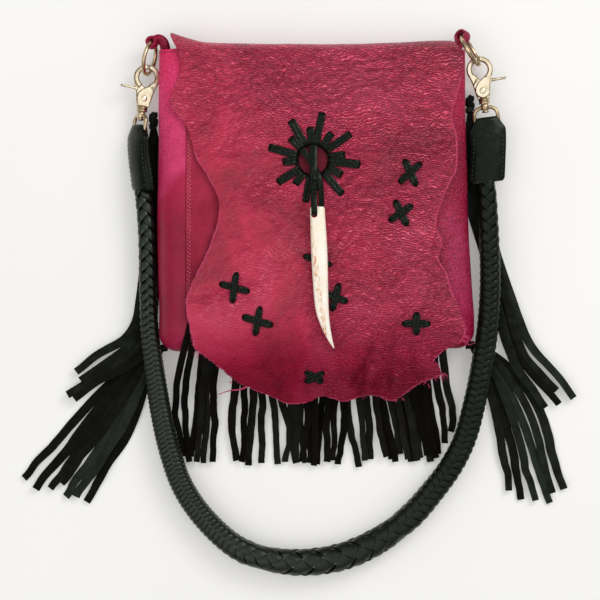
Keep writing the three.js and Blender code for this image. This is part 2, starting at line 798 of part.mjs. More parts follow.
// Places on the front of the flap, blended from its four edges
function flapPlace(u, v) {
  const lerp = THREE.MathUtils.lerp;
  const leftY = lerp(FLAP_TOP, FLAP_CORNER_LEFT.y, v);
  const rightY = lerp(FLAP_TOP, FLAP_CORNER_RIGHT.y, v);
  const left = new THREE.Vector2(read(FLAP_LEFT, 'y', 'x', leftY), leftY);
  const right = new THREE.Vector2(read(FLAP_RIGHT, 'y', 'x', rightY), rightY);
  const topLeft = new THREE.Vector2(read(FLAP_LEFT, 'y', 'x', FLAP_TOP), FLAP_TOP);
  const topRight = new THREE.Vector2(read(FLAP_RIGHT, 'y', 'x', FLAP_TOP), FLAP_TOP);
  const lowLeft = new THREE.Vector2(FLAP_CORNER_LEFT.x, FLAP_CORNER_LEFT.y);
  const lowRight = new THREE.Vector2(FLAP_CORNER_RIGHT.x, FLAP_CORNER_RIGHT.y);
  const bottomX = lerp(lowLeft.x, lowRight.x, u);
  const bottom = new THREE.Vector2(bottomX, read(FLAP_BOTTOM, 'x', 'y', bottomX));
  const top = topLeft.clone().lerp(topRight, u);
  const sides = left.clone().lerp(right, u);
  const ends = top.clone().lerp(bottom, v);
  const corners = top.clone().lerp(lowLeft.clone().lerp(lowRight, u), v);
  return sides.add(ends).sub(corners);
}

function flapGrid() {
  const grid = [];
  const span = (row, place) => {
    const points = [];
    for (let j = 0; j <= FLAP_COLUMNS; j++) points.push(place(row, j / FLAP_COLUMNS));
    return points;
  };
  const tail = FOLD_TURNS[0];
  const tailPlace = (y, u) => point(THREE.MathUtils.lerp(tail.left, tail.right, u), y, TAIL_Z);
  grid.push(span(TAIL_END, tailPlace));
  for (let k = 0; k < FOLD_STEPS; k++) {
    const turn = THREE.MathUtils.lerp(-90, 90, k / FOLD_STEPS);
    const left = read(FOLD_TURNS, 'turn', 'left', turn);
    const right = read(FOLD_TURNS, 'turn', 'right', turn);
    grid.push(span(turn, (angle, u) => {
      const x = THREE.MathUtils.lerp(left, right, u);
      const front = flapAt(x, FLAP_TOP);
      const out = read(FOLD_LINE, 'x', 'y', x) - HIDE / 2 - FLAP_TOP;
      const y = FLAP_TOP + out * Math.cos(radians(angle));
      return point(x, y, (front + TAIL_Z) / 2 + ((front - TAIL_Z) / 2) * Math.sin(radians(angle)));
    }));
  }
  for (let k = 0; k <= FLAP_ROWS; k++) {
    const v = 1 - (1 - k / FLAP_ROWS) ** FLAP_BUNCHING;
    grid.push(span(v, (down, u) => {
      const place = flapPlace(u, down);
      return point(place.x, place.y, flapAt(place.x, place.y));
    }));
  }
  return grid;
}

function flap() {
  const low = point(HOLE.x, HOLE.y, 20);
  const high = point(HOLE.x, HOLE.y, 70);
  return cut(wall(flapGrid(), HIDE), [bar(low, high, HOLE.radius, 24)]);
}

function flapFacing(x, y) {
  const step = 2;
  const slopeX = (flapAt(x + step, y) - flapAt(x - step, y)) / (2 * step);
  const slopeY = (flapAt(x, y + step) - flapAt(x, y - step)) / (2 * step);
  return point(-slopeX, -slopeY, 1).normalize();
}

// Lace on the flap: a strand between two places, raised in the middle where it crosses another
function strandOnFlap(from, to, rise) {
  const stops = [];
  const facings = [];
  for (let k = 0; k <= STRAND_STEPS; k++) {
    const place = from.clone().lerp(to, k / STRAND_STEPS);
    const facing = flapFacing(place.x, place.y);
    const hump = rise * Math.sin((Math.PI * k) / STRAND_STEPS);
    const stop = point(place.x, place.y, flapTopAt(place.x, place.y));
    stops.push(stop.addScaledVector(facing, LACE_BED + LACE_THICKNESS / 2 + hump));
    facings.push(facing);
  }
  return linked(stops, LACE_WIDTH, LACE_THICKNESS, facings);
}

// A ray of lace, wide enough at the hole's rim to meet its neighbours
function ray(turn, reach) {
  const ahead = point(Math.cos(turn), Math.sin(turn), 0);
  const rings = [[RAYS.inner, RAYS.root], [reach, LACE_WIDTH]];
  return loft(rings.map(([radius, width]) => {
    const x = HOLE.x + radius * ahead.x;
    const y = HOLE.y + radius * ahead.y;
    const middle = point(x, y, flapTopAt(x, y) + LACE_BED + LACE_THICKNESS / 2);
    return stripRing(middle, ahead, width, LACE_THICKNESS, {});
  }));
}

function holeLacing() {
  const rays = [];
  for (let k = 0; k < RAYS.count; k++) {
    const turn = radians(RAYS.first + (360 * k) / RAYS.count);
    rays.push(ray(turn, k % 2 === 0 ? RAYS.long : RAYS.short));
  }
  return fuse(rays);
}

function crossStitch({ x, y, lower, lowerLength, upper, upperLength }) {
  const strand = (angle, length, rise) => {
    const half = new THREE.Vector2(Math.cos(radians(angle)), Math.sin(radians(angle)));
    half.multiplyScalar(length / 2);
    const middle = new THREE.Vector2(x, y);
    return strandOnFlap(middle.clone().sub(half), middle.clone().add(half), rise);
  };
  return fuse([strand(lower, lowerLength, 0), strand(upper, upperLength, CROSS_RISE)]);
}

// Two strands from the hole: one over its lower rim into the bone, one behind the bone's top
function toggleLace() {
  const above = (x, y, clear) => point(x, y, flapTopAt(x, y) + clear);
  const bed = GAP + LACE_THICKNESS / 2;
  const overRim = bed + LACE_THICKNESS + GAP;
  const boneZ = read(BONE_ROWS, 'y', 'z', BONE_HOLE.y);
  const width = () => TOGGLE_LACE_WIDTH;
  const front = strip([
    above(0, 35, 0.2),
    above(0, 28, 0.4),
    above(0, 17, overRim),
    above(0, 9, overRim + 0.4),
    point(0.2, -2, boneZ + 1.6),
    point(0.4, -11, boneZ + 5.2),
    point(0.6, -16.4, boneZ + 5),
    point(0.6, -18.5, boneZ + 2),
    point(0.6, -18.7, boneZ - 1),
  ], width, LACE_THICKNESS, 11, point(1, 0, 0));
  const back = strip([
    above(-1, 34.5, 0.1),
    above(2.6, 21, 0.6),
    above(4.4, 13, overRim + 0.6),
    above(5.4, 4, overRim + 0.4),
    above(6.4, -12, bed + 0.6),
    above(6.6, -20, bed),
  ], width, LACE_THICKNESS, 7);
  return fuse([front, back]);
}

function boneToggle() {
  const rings = [];
  const top = BONE_ROWS[BONE_ROWS.length - 1].y;
  for (let k = 0; k <= BONE_STEPS; k++) {
    const y = THREE.MathUtils.lerp(BONE_ROWS[0].y, top, k / BONE_STEPS);
    const left = read(BONE_ROWS, 'y', 'left', y);
    const right = read(BONE_ROWS, 'y', 'right', y);
    const thick = read(BONE_ROWS, 'y', 'thick', y);
    const z = read(BONE_ROWS, 'y', 'z', y);
    const ring = [];
    for (let j = 0; j < BONE_SIDES; j++) {
      const turn = (2 * Math.PI * j) / BONE_SIDES;
      const x = (left + right) / 2 + ((right - left) / 2) * Math.cos(turn);
      ring.push(point(x, y, z + (thick / 2) * Math.sin(turn)));
    }
    rings.push(ring);
  }
  const low = point(BONE_HOLE.x, BONE_HOLE.y, 40);
  const high = point(BONE_HOLE.x, BONE_HOLE.y, 70);
  return cut(loft(rings), [bar(low, high, BONE_HOLE.radius, 12)]);
}

// Bottom fringe
function fringeAt(x, y) {
  if (y > SEAM_BOTTOM + 4) return depthAt(y) + crownAt(x, y) + GAP + SUEDE_THICKNESS / 2 + 0.15;
  return read(FRINGE_FALL, 'below', 'z', SEAM_BOTTOM + 4 - y);
}

function frontFringe() {
  const pieces = [];
  const last = FRINGE_STRIPS.length - 1;
  const inset = SUEDE_WIDTH / 2 + 0.2;
  FRINGE_STRIPS.forEach(({ mid, low, tip, end }, i) => {
    const root = THREE.MathUtils.lerp(HEADER.left + inset, HEADER.right - inset, i / last);
    const way = [
      { y: end, x: tip },
      { y: FRINGE_LOW_Y, x: low },
      { y: FRINGE_MID_Y, x: mid },
      { y: SEAM_BOTTOM, x: THREE.MathUtils.lerp(root, mid, 0.3) },
      { y: HEADER.bottom, x: root },
    ];
    const stops = [HEADER.bottom + 2, ...FRINGE_STOPS, end];
    const route = stops.map((y) => {
      const x = read(way, 'y', 'x', y);
      const over = THREE.MathUtils.smoothstep(-y, -FRINGE_LAYER_START, -FRINGE_LAYER_END);
      const lay = (i % 2) * FRINGE_LAYER * over;
      return point(x, y, fringeAt(x, y) + lay);
    });
    pieces.push(linked(route, SUEDE_WIDTH, SUEDE_THICKNESS));
  });
  const grid = [];
  for (const y of [HEADER.top, HEADER.bottom]) {
    const row = [];
    for (let j = 0; j <= HEADER.columns; j++) {
      const x = THREE.MathUtils.lerp(HEADER.left, HEADER.right, j / HEADER.columns);
      row.push(point(x, y, fringeAt(x, y) + 0.1));
    }
    grid.push(row);
  }
  pieces.push(wall(grid, HIDE));
  return fuse(pieces);
}

function knot({ x, y, z, across, along, tall }) {
  const geometry = new THREE.SphereGeometry(1, 8, 5);
  return geometry.scale(across, along, tall).translate(x, y, z);
}

function tassel({ knot: head, way, turn, lay, taper, strips }) {
  const pieces = [knot(head)];
  const spreadX = Math.cos(radians(turn));
  const spreadY = Math.sin(radians(turn));
  const widthAt = (share) => {
    const full = THREE.MathUtils.smoothstep(share, 0, taper);
    return THREE.MathUtils.lerp(TASSEL_ROOT, TASSEL_WIDTH, full);
  };
  strips.forEach(({ bendX, bendY, tipX, tipY }, i) => {
    const over = (i % 2) * FRINGE_LAYER;
    const lowest = FLOOR_CLEARANCE + SUEDE_THICKNESS / 2 + lay + over;
    const route = [point(head.x, head.y, head.z)];
    way.forEach(({ x, y, z, spread }) => {
      const aside = spread * (i / (strips.length - 1) - 0.5);
      route.push(point(x + aside * spreadX, y + aside * spreadY, z + over));
    });
    route.push(point(bendX, bendY, lowest + 0.4));
    route.push(point((bendX + 2 * tipX) / 3, (bendY + 2 * tipY) / 3, lowest + 0.2));
    route.push(point(tipX, tipY, lowest));
    pieces.push(strip(route, widthAt, SUEDE_THICKNESS, TASSEL_STEPS));
  });
  return fuse(pieces);
}

// Braided strap
function strap() {
  const places = STRAP_ROUTE.map(({ x, y, z }) => point(x, y, z));
  const curve = new THREE.CatmullRomCurve3(places, false, 'centripetal');
  const alongs = STRAP_RADIUS.slice(0, 3).map(({ along }) => along);
  for (let k = 2; k < STRAP_STEPS - 1; k++) alongs.push(k / STRAP_STEPS);
  alongs.push(...STRAP_RADIUS.slice(-2).map(({ along }) => along));
  const rings = alongs.map((along) => {
    const middle = curve.getPointAt(along);
    const ahead = curve.getTangentAt(along);
    const side = ahead.clone().cross(UP).normalize();
    const face = side.clone().cross(ahead).normalize();
    const radius = read(STRAP_RADIUS, 'along', 'radius', along);
    const ring = [];
    for (let j = 0; j < STRAP_SIDES; j++) {
      const turn = (2 * Math.PI * j) / STRAP_SIDES;
      const place = middle.clone().addScaledVector(side, radius * Math.cos(turn));
      ring.push(place.addScaledVector(face, radius * Math.sin(turn)));
    }
    return ring;
  });
  return loft(rings);
}

// Trigger snaps
function arch(from, to) {
  const outline = new THREE.Shape();
  outline.absarc(0, 0, JAW.outer, radians(from), radians(to), false);
  outline.absarc(0, 0, JAW.inner, radians(to), radians(from), true);
  outline.closePath();
  return outline;
}

function disc(radius) {
  const outline = new THREE.Shape();
  outline.absarc(0, RIVET.y, radius, 0, 2 * Math.PI, false);
  return outline;
}

function alongAxis(from, to, radius, sides) {
  return bar(point(0, from, 0), point(0, to, 0), radius, sides);
}

function snapBody() {
  const lowTop = -LAYER_GAP / 2;
  const root = polygon([[-2.4, -5.95], [1, -6.75], [-4.75, -12.3], [-7.5, -7.2]]);
  const neck = polygon([[-7.6, -6.9], [-1.6, -6.9], [3, -12.7], [-5.5, -14]]);
  const shank = polygon([[-4.4, -19], [4.4, -19], [4.4, COLLAR.top - 0.5], [-4.4, COLLAR.top - 0.5]]);
  const pin = bar(point(0, RIVET.y, lowTop - 0.2), point(0, RIVET.y, JAW.half + 0.4), RIVET.radius, 10);
  const cap = bar(
    point(0, RIVET.y, JAW.half + 0.3),
    point(0, RIVET.y, JAW.half + 1),
    RIVET.head,
    10,
  );
  const headTop = SWIVEL.bossBottom - 0.4;
  return fuse([
    plate(arch(92, 250), -JAW.half, JAW.half, 5),
    plate(root, -JAW.half, JAW.half, 1),
    plate(neck, -JAW.half, lowTop, 1),
    plate(disc(RIVET.plate), -JAW.half, lowTop, 5),
    plate(shank, -JAW.half, lowTop, 1),
    pin,
    cap,
    alongAxis(COLLAR.top, COLLAR.bottom, COLLAR.radius, 12),
    alongAxis(COLLAR.bottom + 0.5, headTop - 1, SWIVEL.post, 8),
    alongAxis(headTop, headTop - 2, SWIVEL.head, 10),
  ]);
}

function snapGate() {
  const highBottom = LAYER_GAP / 2;
  const neck = polygon([[1.6, -6.9], [-4.4, -12.7], [5.5, -14], [7.8, -6.9]]);
  const lever = polygon([[6.4, -8.2], [18.6, -10.2], [19, -11.8], [7.2, -10.6]]);
  const whole = fuse([
    plate(arch(-60, 88), -JAW.half, JAW.half, 5),
    plate(neck, highBottom, JAW.half, 1),
    plate(disc(RIVET.plate), highBottom, JAW.half, 5),
    plate(lever, -JAW.half, JAW.half, 1),
  ]);
  return cut(whole, [bar(point(0, RIVET.y, -5), point(0, RIVET.y, 5), RIVET.bore, 12)]);
}

function snapEye() {
  const { half, top, bar: low, corner, wire } = EYE;
  const side = (sign) => [
    [2.2 * sign, top],
    [6 * sign, top - 0.9],
    [(half - 0.6) * sign, top - 3.4],
    [half * sign, top - 6.5],
    [half * sign, low + corner],
    [(half - 0.9) * sign, low + 0.9],
    [(half - corner) * sign, low],
  ];
  const route = [...side(1), [0, low], ...side(-1).reverse()].map(([x, y]) => point(x, y, 0));
  const outline = new THREE.Shape();
  for (let k = 0; k < 6; k++) {
    const turn = (Math.PI / 3) * k;
    const place = [wire * Math.cos(turn), wire * Math.sin(turn)];
    if (k === 0) outline.moveTo(...place);
    else outline.lineTo(...place);
  }
  const path = new THREE.CatmullRomCurve3(route, false, 'centripetal');
  const loop = new THREE.ExtrudeGeometry(outline, { extrudePath: path, steps: 16, bevelEnabled: false });
  const boss = alongAxis(SWIVEL.bossTop, SWIVEL.bossBottom, SWIVEL.boss, 12);
  const bore = alongAxis(SWIVEL.bossTop + 1, SWIVEL.bossBottom - 1, SWIVEL.bore, 10);
  return cut(fuse([loop, boss]), [bore]);
}

// Sleeve section: two layers stitched flat at the edges, swelling over the strap's end
function sleeve(bend, roll) {
  const last = SLEEVE_ROWS[SLEEVE_ROWS.length - 1];
  const place = (x, y, z) => {
    const turned = point(x, 0, z).applyAxisAngle(point(0, 1, 0), radians(roll));
    const along = SLEEVE_TOP - y;
    const aside = bend * THREE.MathUtils.smoothstep(along, 4, last.along + 20);
    return point(turned.x + aside, y, turned.z);
  };
  const rings = SLEEVE_ROWS.map(({ along, half, thick }) => {
    const ring = [];
    for (let j = 0; j < SLEEVE_SIDES; j++) {
      const turn = (2 * Math.PI * j) / SLEEVE_SIDES;
      const across = Math.cos(turn);
      const swell = (thick - SLEEVE_FLANGE) * (1 - across ** 2);
      const face = Math.sign(Math.sin(turn)) * (Math.abs(Math.sin(turn)) < 0.01 ? 0 : 1);
      ring.push(place(half * across, SLEEVE_TOP - along, face * (SLEEVE_FLANGE + swell)));
    }
    return ring;
  });
  const end = SLEEVE_TOP - last.along;
  const socket = [
    place(0, end - 2, 0),
    place(0, end + SLEEVE_SOCKET.depth, 0),
  ];
  const aside = point(1, 0, 0).applyAxisAngle(point(0, 1, 0), radians(roll));
  const tunnel = [-20, 20].map((far) => {
    return point(0, EYE.bar, 0).addScaledVector(aside, far);
  });
  return cut(loft(rings), [
    bar(socket[0], socket[1], SLEEVE_SOCKET.radius, 12),
    bar(tunnel[0], tunnel[1], EYE.wire + 0.7, 10),
  ]);
}

// A ring from its seat in the jaw to the tab: it leans in plan, rises, and has its left arc high
function ringFrame({ place, tilt, ring: { lean, rise, seat: reach } }) {
  const up = point(-Math.sin(radians(tilt)), Math.cos(radians(tilt)), 0);
  const seat = point(place.x, place.y, place.z).addScaledVector(up, reach);
  const major = point(0, 1, 0).applyAxisAngle(point(1, 0, 0), radians(rise));
  major.applyAxisAngle(UP, radians(-lean));
  const level = major.clone().cross(UP).normalize().negate();
  const steepest = level.clone().cross(major).normalize();
  if (steepest.z < 0) steepest.negate();
  const minor = level.multiplyScalar(Math.cos(radians(RING.steep)));
  minor.addScaledVector(steepest, Math.sin(radians(RING.steep)));
  const centre = seat.clone().addScaledVector(major, RING.radius);
  const tabEnd = seat.clone().addScaledVector(major, 2 * RING.radius);
  return { major, minor, centre, tabEnd };
}

function ring(frame) {
  const geometry = new THREE.TorusGeometry(RING.radius, RING.wire, 6, 16);
  const normal = frame.major.clone().cross(frame.minor);
  const basis = new THREE.Matrix4().makeBasis(frame.major, frame.minor, normal);
  return geometry.applyMatrix4(basis.setPosition(frame.centre));
}

// A leather strip that goes round the ring's wire and back, with both legs sewn inside
function tab(frame, way) {
  const wire = frame.tabEnd.clone().addScaledVector(frame.major, -0.25);
  const stops = [wire, ...way.map(({ x, y, z }) => point(x, y, z))];
  const leg = (sign) => stops.slice(1).map((stop, i) => {
    const ahead = stop.clone().sub(stops[i]).normalize();
    const aside = frame.minor.clone().cross(ahead).normalize();
    return stop.clone().addScaledVector(aside, sign * TAB.legs);
  });
  const out = stops[1].clone().sub(wire).normalize();
  const aside = frame.minor.clone().cross(out).normalize();
  const turns = [48, 90, 135, 180, 225, 270, 312].map((angle) => {
    const place = wire.clone().addScaledVector(out, TAB.loop * Math.cos(radians(angle)));
    return place.addScaledVector(aside, TAB.loop * Math.sin(radians(angle)));
  });
  const route = [...leg(1).reverse(), ...turns, ...leg(-1)];
  return strip(route, () => TAB.width, TAB.thickness, TAB.steps, frame.minor);
}

// Assembly
add(bag, 'back_panel', backPanel(), WINE, 0.6);
add(bag, 'gusset', gusset(), PINK, 0.5);
add(bag, 'front_panel', frontPanel(), WINE, 0.6);
add(bag, 'flap', flap(), WINE, 0.6);
add(bag, 'hole_lacing', holeLacing(), BLACK, 0.7);
add(bag, 'toggle_lace', toggleLace(), BLACK, 0.7);
add(bag, 'bone_toggle', boneToggle(), BONE, 0.45);
CROSSES.forEach((cross, i) => {
  add(bag, `cross_stitch_${i + 1}`, crossStitch(cross), BLACK, 0.7);
});
add(bag, 'front_fringe', frontFringe(), BLACK, 0.85);
TASSELS.forEach((row) => add(bag, row.name, tassel(row), BLACK, 0.85));
add(bag, 'strap_braid', strap(), BLACK, 0.6);

SNAPS.forEach((snap) => {
  const frame = ringFrame(snap);
  add(bag, `${snap.side}_tab`, tab(frame, TAB_WAYS[snap.side]), PINK, 0.55);
  add(bag, `${snap.side}_ring`, ring(frame), BRASS, 0.35, 1);

  const hardware = new THREE.Group();
  hardware.position.copy(snap.place);
  hardware.rotation.order = 'ZYX';
  hardware.rotation.set(radians(snap.pitch), 0, radians(snap.tilt));
  bag.add(hardware);

  const hook = new THREE.Group();
  hook.rotation.y = radians(snap.flip);
  add(hook, `${snap.side}_snap_body`, snapBody(), BRASS, 0.35, 1);
  add(hook, `${snap.side}_snap_gate`, snapGate(), BRASS, 0.35, 1);
  hardware.add(hook);

  const eye = new THREE.Group();
  eye.rotation.y = radians(snap.roll);
  add(eye, `${snap.side}_snap_eye`, snapEye(), BRASS, 0.35, 1);
  hardware.add(eye);
  add(hardware, `${snap.side}_sleeve`, sleeve(SLEEVE_BEND[snap.side], snap.roll), BLACK, 0.6);
});

export default bag;
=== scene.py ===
"""Fringe crossbody bag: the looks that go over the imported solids.

Lengths are in millimetres. The strap's route, camera, lights and texture scales are in metres.
"""

import bisect
import random
from math import atan, atan2, copysign, cos, degrees, exp, hypot, pi, radians, sin, sqrt

import bmesh
import bpy
from mathutils import Matrix, Vector, noise


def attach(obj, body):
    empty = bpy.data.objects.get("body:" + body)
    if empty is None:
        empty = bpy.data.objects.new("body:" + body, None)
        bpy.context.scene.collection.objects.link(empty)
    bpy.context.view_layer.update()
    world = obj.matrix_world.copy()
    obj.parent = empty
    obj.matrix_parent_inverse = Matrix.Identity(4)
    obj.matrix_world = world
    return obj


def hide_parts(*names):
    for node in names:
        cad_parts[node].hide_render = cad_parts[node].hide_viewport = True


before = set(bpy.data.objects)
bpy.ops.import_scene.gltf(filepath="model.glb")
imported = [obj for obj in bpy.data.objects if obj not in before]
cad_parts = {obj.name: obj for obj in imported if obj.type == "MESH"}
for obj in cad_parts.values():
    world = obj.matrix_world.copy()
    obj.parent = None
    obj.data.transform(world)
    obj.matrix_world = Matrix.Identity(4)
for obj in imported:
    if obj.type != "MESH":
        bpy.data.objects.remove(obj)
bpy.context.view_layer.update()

MM = 0.001
UP = Vector((0, 0, 1))
SEED_STEP = 7.3
chance = random.Random(11)


class Table:
    """A smooth value between rows of key and value."""

    def __init__(self, *rows):
        self.keys = [row[0] for row in rows]
        self.values = [row[1] for row in rows]

    def slope(self, k):
        a, b = max(k - 1, 0), min(k + 1, len(self.keys) - 1)
        return (self.values[b] - self.values[a]) / (self.keys[b] - self.keys[a])

    def __call__(self, at):
        if at <= self.keys[0]:
            return self.values[0]
        if at >= self.keys[-1]:
            return self.values[-1]
        i = bisect.bisect_right(self.keys, at) - 1
        span = self.keys[i + 1] - self.keys[i]
        t = (at - self.keys[i]) / span
        ends = self.values[i] * (2 * t**3 - 3 * t**2 + 1) + self.values[i + 1] * (3 * t**2 - 2 * t**3)
        leave = self.slope(i) * span * (t**3 - 2 * t**2 + t)
        arrive = self.slope(i + 1) * span * (t**3 - t**2)
        return ends + leave + arrive


def tables(rows):
    """One table for each column after the first, which holds the keys."""
    return [Table(*[(row[0], row[k]) for row in rows]) for k in range(1, len(rows[0]))]


def lerp(a, b, t):
    return a + (b - a) * t


def smoothstep(x, low, high):
    t = min(1.0, max(0.0, (x - low) / (high - low)))
    return t * t * (3 - 2 * t)


def noise_at(x, y, z):
    return noise.noise(Vector((x, y, z)))


def wave(x, y, length, seed):
    return noise_at(x / length, y / length, seed * SEED_STEP)


def circle(count):
    """Angles at even steps all the way round."""
    return [2 * pi * j / count for j in range(count)]


def squared(value, power):
    """A sine or cosine brought nearer to its extremes, which squares a round section."""
    return copysign(abs(value) ** power, value)


class Curve:
    """A centripetal Catmull-Rom curve, read by share of its length."""

    def __init__(self, points, samples=40):
        places = [Vector(p) for p in points]
        places = [2 * places[0] - places[1], *places, 2 * places[-1] - places[-2]]
        self.dense = []
        for i in range(1, len(places) - 2):
            for k in range(samples):
                self.dense.append(self.between(places[i - 1 : i + 3], k / samples))
        self.dense.append(places[-2])
        self.run = [0.0]
        for a, b in zip(self.dense, self.dense[1:]):
            self.run.append(self.run[-1] + (b - a).length)
        self.length = self.run[-1]

    @staticmethod
    def between(four, t):
        gaps = [max((b - a).length ** 0.5, 1e-6) for a, b in zip(four, four[1:])]
        p0, p1, p2, p3 = four
        leave = ((p1 - p0) / gaps[0] - (p2 - p0) / (gaps[0] + gaps[1]) + (p2 - p1) / gaps[1]) * gaps[1]
        arrive = ((p2 - p1) / gaps[1] - (p3 - p1) / (gaps[1] + gaps[2]) + (p3 - p2) / gaps[2]) * gaps[1]
        start = p1 * (2 * t**3 - 3 * t**2 + 1) + p2 * (3 * t**2 - 2 * t**3)
        return start + leave * (t**3 - 2 * t**2 + t) + arrive * (t**3 - t**2)

    def at(self, share):
        far = min(max(share, 0.0), 1.0) * self.length
        i = min(max(bisect.bisect_right(self.run, far) - 1, 0), len(self.run) - 2)
        span = self.run[i + 1] - self.run[i]
        return self.dense[i].lerp(self.dense[i + 1], (far - self.run[i]) / span if span else 0)

    def points(self, count):
        return [self.at(k / count) for k in range(count + 1)]

    def ahead(self, share):
        step = 0.5 / self.length
        return (self.at(share + step) - self.at(share - step)).normalized()


class Form:
    """Points and faces of a piece while it is being made."""

    def __init__(self):
        self.points = []
        self.faces = []
        self.slots = []

    def face(self, corners, slot=0):
        self.faces.append(corners)
        self.slots.append(slot)

    def rings(self, rings, caps=True, loop=False, slot=0):
        first, count = len(self.points), len(rings[0])
        for ring in rings:
            self.points.extend(ring)
        total = len(rings)
        for i in range(total if loop else total - 1):
            low, high = first + i * count, first + ((i + 1) % total) * count
            for j in range(count):
                k = (j + 1) % count
                self.face((low + j, low + k, high + k, high + j), slot)
        if caps and not loop:
            self.face(tuple(first + j for j in reversed(range(count))), slot)
            self.face(tuple(first + (total - 1) * count + j for j in range(count)), slot)

    def sheet(self, grid, thickness, skip=lambda i, j: False, slots=(0, 0, 0), rim=lambda i, j: False):
        """Leather of a given thickness round a grid: grain side, flesh side, and cut edge with a raw rim."""
        rows, columns = len(grid), len(grid[0])
        top = len(self.points)
        lower = top + rows * columns
        normals = []
        for i in range(rows):
            for j in range(columns):
                across = grid[i][min(j + 1, columns - 1)] - grid[i][max(j - 1, 0)]
                along = grid[min(i + 1, rows - 1)][j] - grid[max(i - 1, 0)][j]
                normals.append(along.cross(across).normalized())
        flat = [p for row in grid for p in row]
        self.points.extend(p + n * thickness / 2 for p, n in zip(flat, normals))
        self.points.extend(p - n * thickness / 2 for p, n in zip(flat, normals))
        open_edges = {}
        for i in range(rows - 1):
            for j in range(columns - 1):
                if skip(i, j):
                    continue
                a = i * columns + j
                quad = (a, a + columns, a + columns + 1, a + 1)
                self.face(tuple(top + k for k in quad), slots[2] if rim(i, j) else slots[0])
                self.face(tuple(lower + k for k in reversed(quad)), slots[1])
                for p, q in zip(quad, quad[1:] + quad[:1]):
                    if not open_edges.pop((q, p), False):
                        open_edges[(p, q)] = True
        for p, q in open_edges:
            self.face((top + q, top + p, lower + p, lower + q), slots[2])

    @staticmethod
    def reading(value, k, share):
        """A plain value, the kth of a list, or a function of the share."""
        if isinstance(value, list):
            return value[k]
        return value(share) if callable(value) else value

    def ribbon(self, path, width, thick, facing=UP, twist=None, sides=8, square=0.5, slot=0, loop=False):
        """A strip with rounded edges; width, thickness and facing may change along it, and it may twist."""
        last = len(path) - 1
        rings = []
        for k, middle in enumerate(path):
            share = k / last
            if loop:
                ahead = path[(k + 1) % len(path)] - path[k - 1]
            else:
                ahead = path[min(k + 1, last)] - path[max(k - 1, 0)]
            ahead.normalize()
            side = ahead.cross(self.reading(facing, k, share)).normalized()
            face = side.cross(ahead).normalized()
            if twist:
                turn = twist(share)
                side, face = (
                    side * cos(turn) + face * sin(turn),
                    face * cos(turn) - side * sin(turn),
                )
            half = self.reading(width, k, share) / 2
            deep = self.reading(thick, k, share) / 2
            ring = []
            for j in range(sides):
                turn = 2 * pi * (j + 0.5) / sides
                x = squared(cos(turn), square) * half
                y = squared(sin(turn), square) * deep
                ring.append(middle + side * x + face * y)
            rings.append(ring)
        self.rings(rings, loop=loop, slot=slot)

    def lathe(self, outline, sides=24, slot=0):
        """A turned form about the y axis from rows of y and radius."""
        rings = []
        for y, radius in outline:
            rings.append([Vector((radius * cos(t), y, radius * sin(t))) for t in circle(sides)])
        self.rings(rings, slot=slot)

    def plate(self, outline, low, high, bevel, strip=False):
        """A flat plate, its eased edges in the second material; a bent strip is capped across its width."""
        count = len(outline)
        area = sum(a[0] * b[1] - b[0] * a[1] for a, b in zip(outline, outline[1:] + outline[:1]))
        inner = []
        for k in range(count):
            a, b = Vector(outline[k - 1]), Vector(outline[(k + 1) % count])
            out = Vector(((b - a).y, -(b - a).x)).normalized() * copysign(1, area)
            inner.append(Vector(outline[k]) - out * bevel)
        levels = ((inner, low), (outline, low + bevel), (outline, high - bevel), (inner, high))
        first = len(self.points)
        self.rings([[Vector((p[0], p[1], z)) for p in ring] for ring, z in levels], caps=False, slot=1)
        if not strip:
            self.face(tuple(first + k for k in reversed(range(count))))
            self.face(tuple(first + 3 * count + k for k in range(count)))
        for ring in (0, 3) if strip else ():
            for k in range(count // 2 - 1):
                low_edge, high_edge = first + ring * count + k, first + ring * count + count - 1 - k
                self.face((low_edge, low_edge + 1, high_edge - 1, high_edge))

    def moved(self, start, matrix):
        for k in range(start, len(self.points)):
            self.points[k] = matrix @ self.points[k]


def add_object(name, data):
    obj = bpy.data.objects.new(name, data)
    bpy.context.scene.collection.objects.link(obj)
    return obj


def make(name, form, materials, body="bag", replaces=(), sharp=38):
    """A Blender object from a form, riding on its body."""
    mesh = bpy.data.meshes.new(name)
    mesh.from_pydata([p * MM for p in form.points], [], form.faces)
    for material in materials:
        mesh.materials.append(material)
    mesh.polygons.foreach_set("material_index", form.slots)
    work = bmesh.new()
    work.from_mesh(mesh)
    bmesh.ops.recalc_face_normals(work, faces=work.faces)
    work.to_mesh(mesh)
    work.free()
    mesh.shade_smooth()
    mesh.set_sharp_from_angle(angle=radians(sharp))
    obj = add_object(name, mesh)
    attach(obj, body)
    if replaces:
        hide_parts(*replaces)
    return obj


# Camera, straight above the bag as in the photo
CAMERA_X, CAMERA_Y, CAMERA_HEIGHT = -0.0104, -0.0848, 1.8
FIELD = 0.48
camera_data = bpy.data.cameras.new("photo_camera")
camera_data.angle = 2 * atan(FIELD / 2 / CAMERA_HEIGHT)
camera = add_object("photo_camera", camera_data)
camera.location = (CAMERA_X, CAMERA_Y, CAMERA_HEIGHT)
bpy.context.scene.camera = camera


# Materials
def srgb(*levels):
    linear = [(v / 255) / 12.92 if v <= 10 else ((v / 255 + 0.055) / 1.055) ** 2.4 for v in levels]
    return (*linear, 1.0)


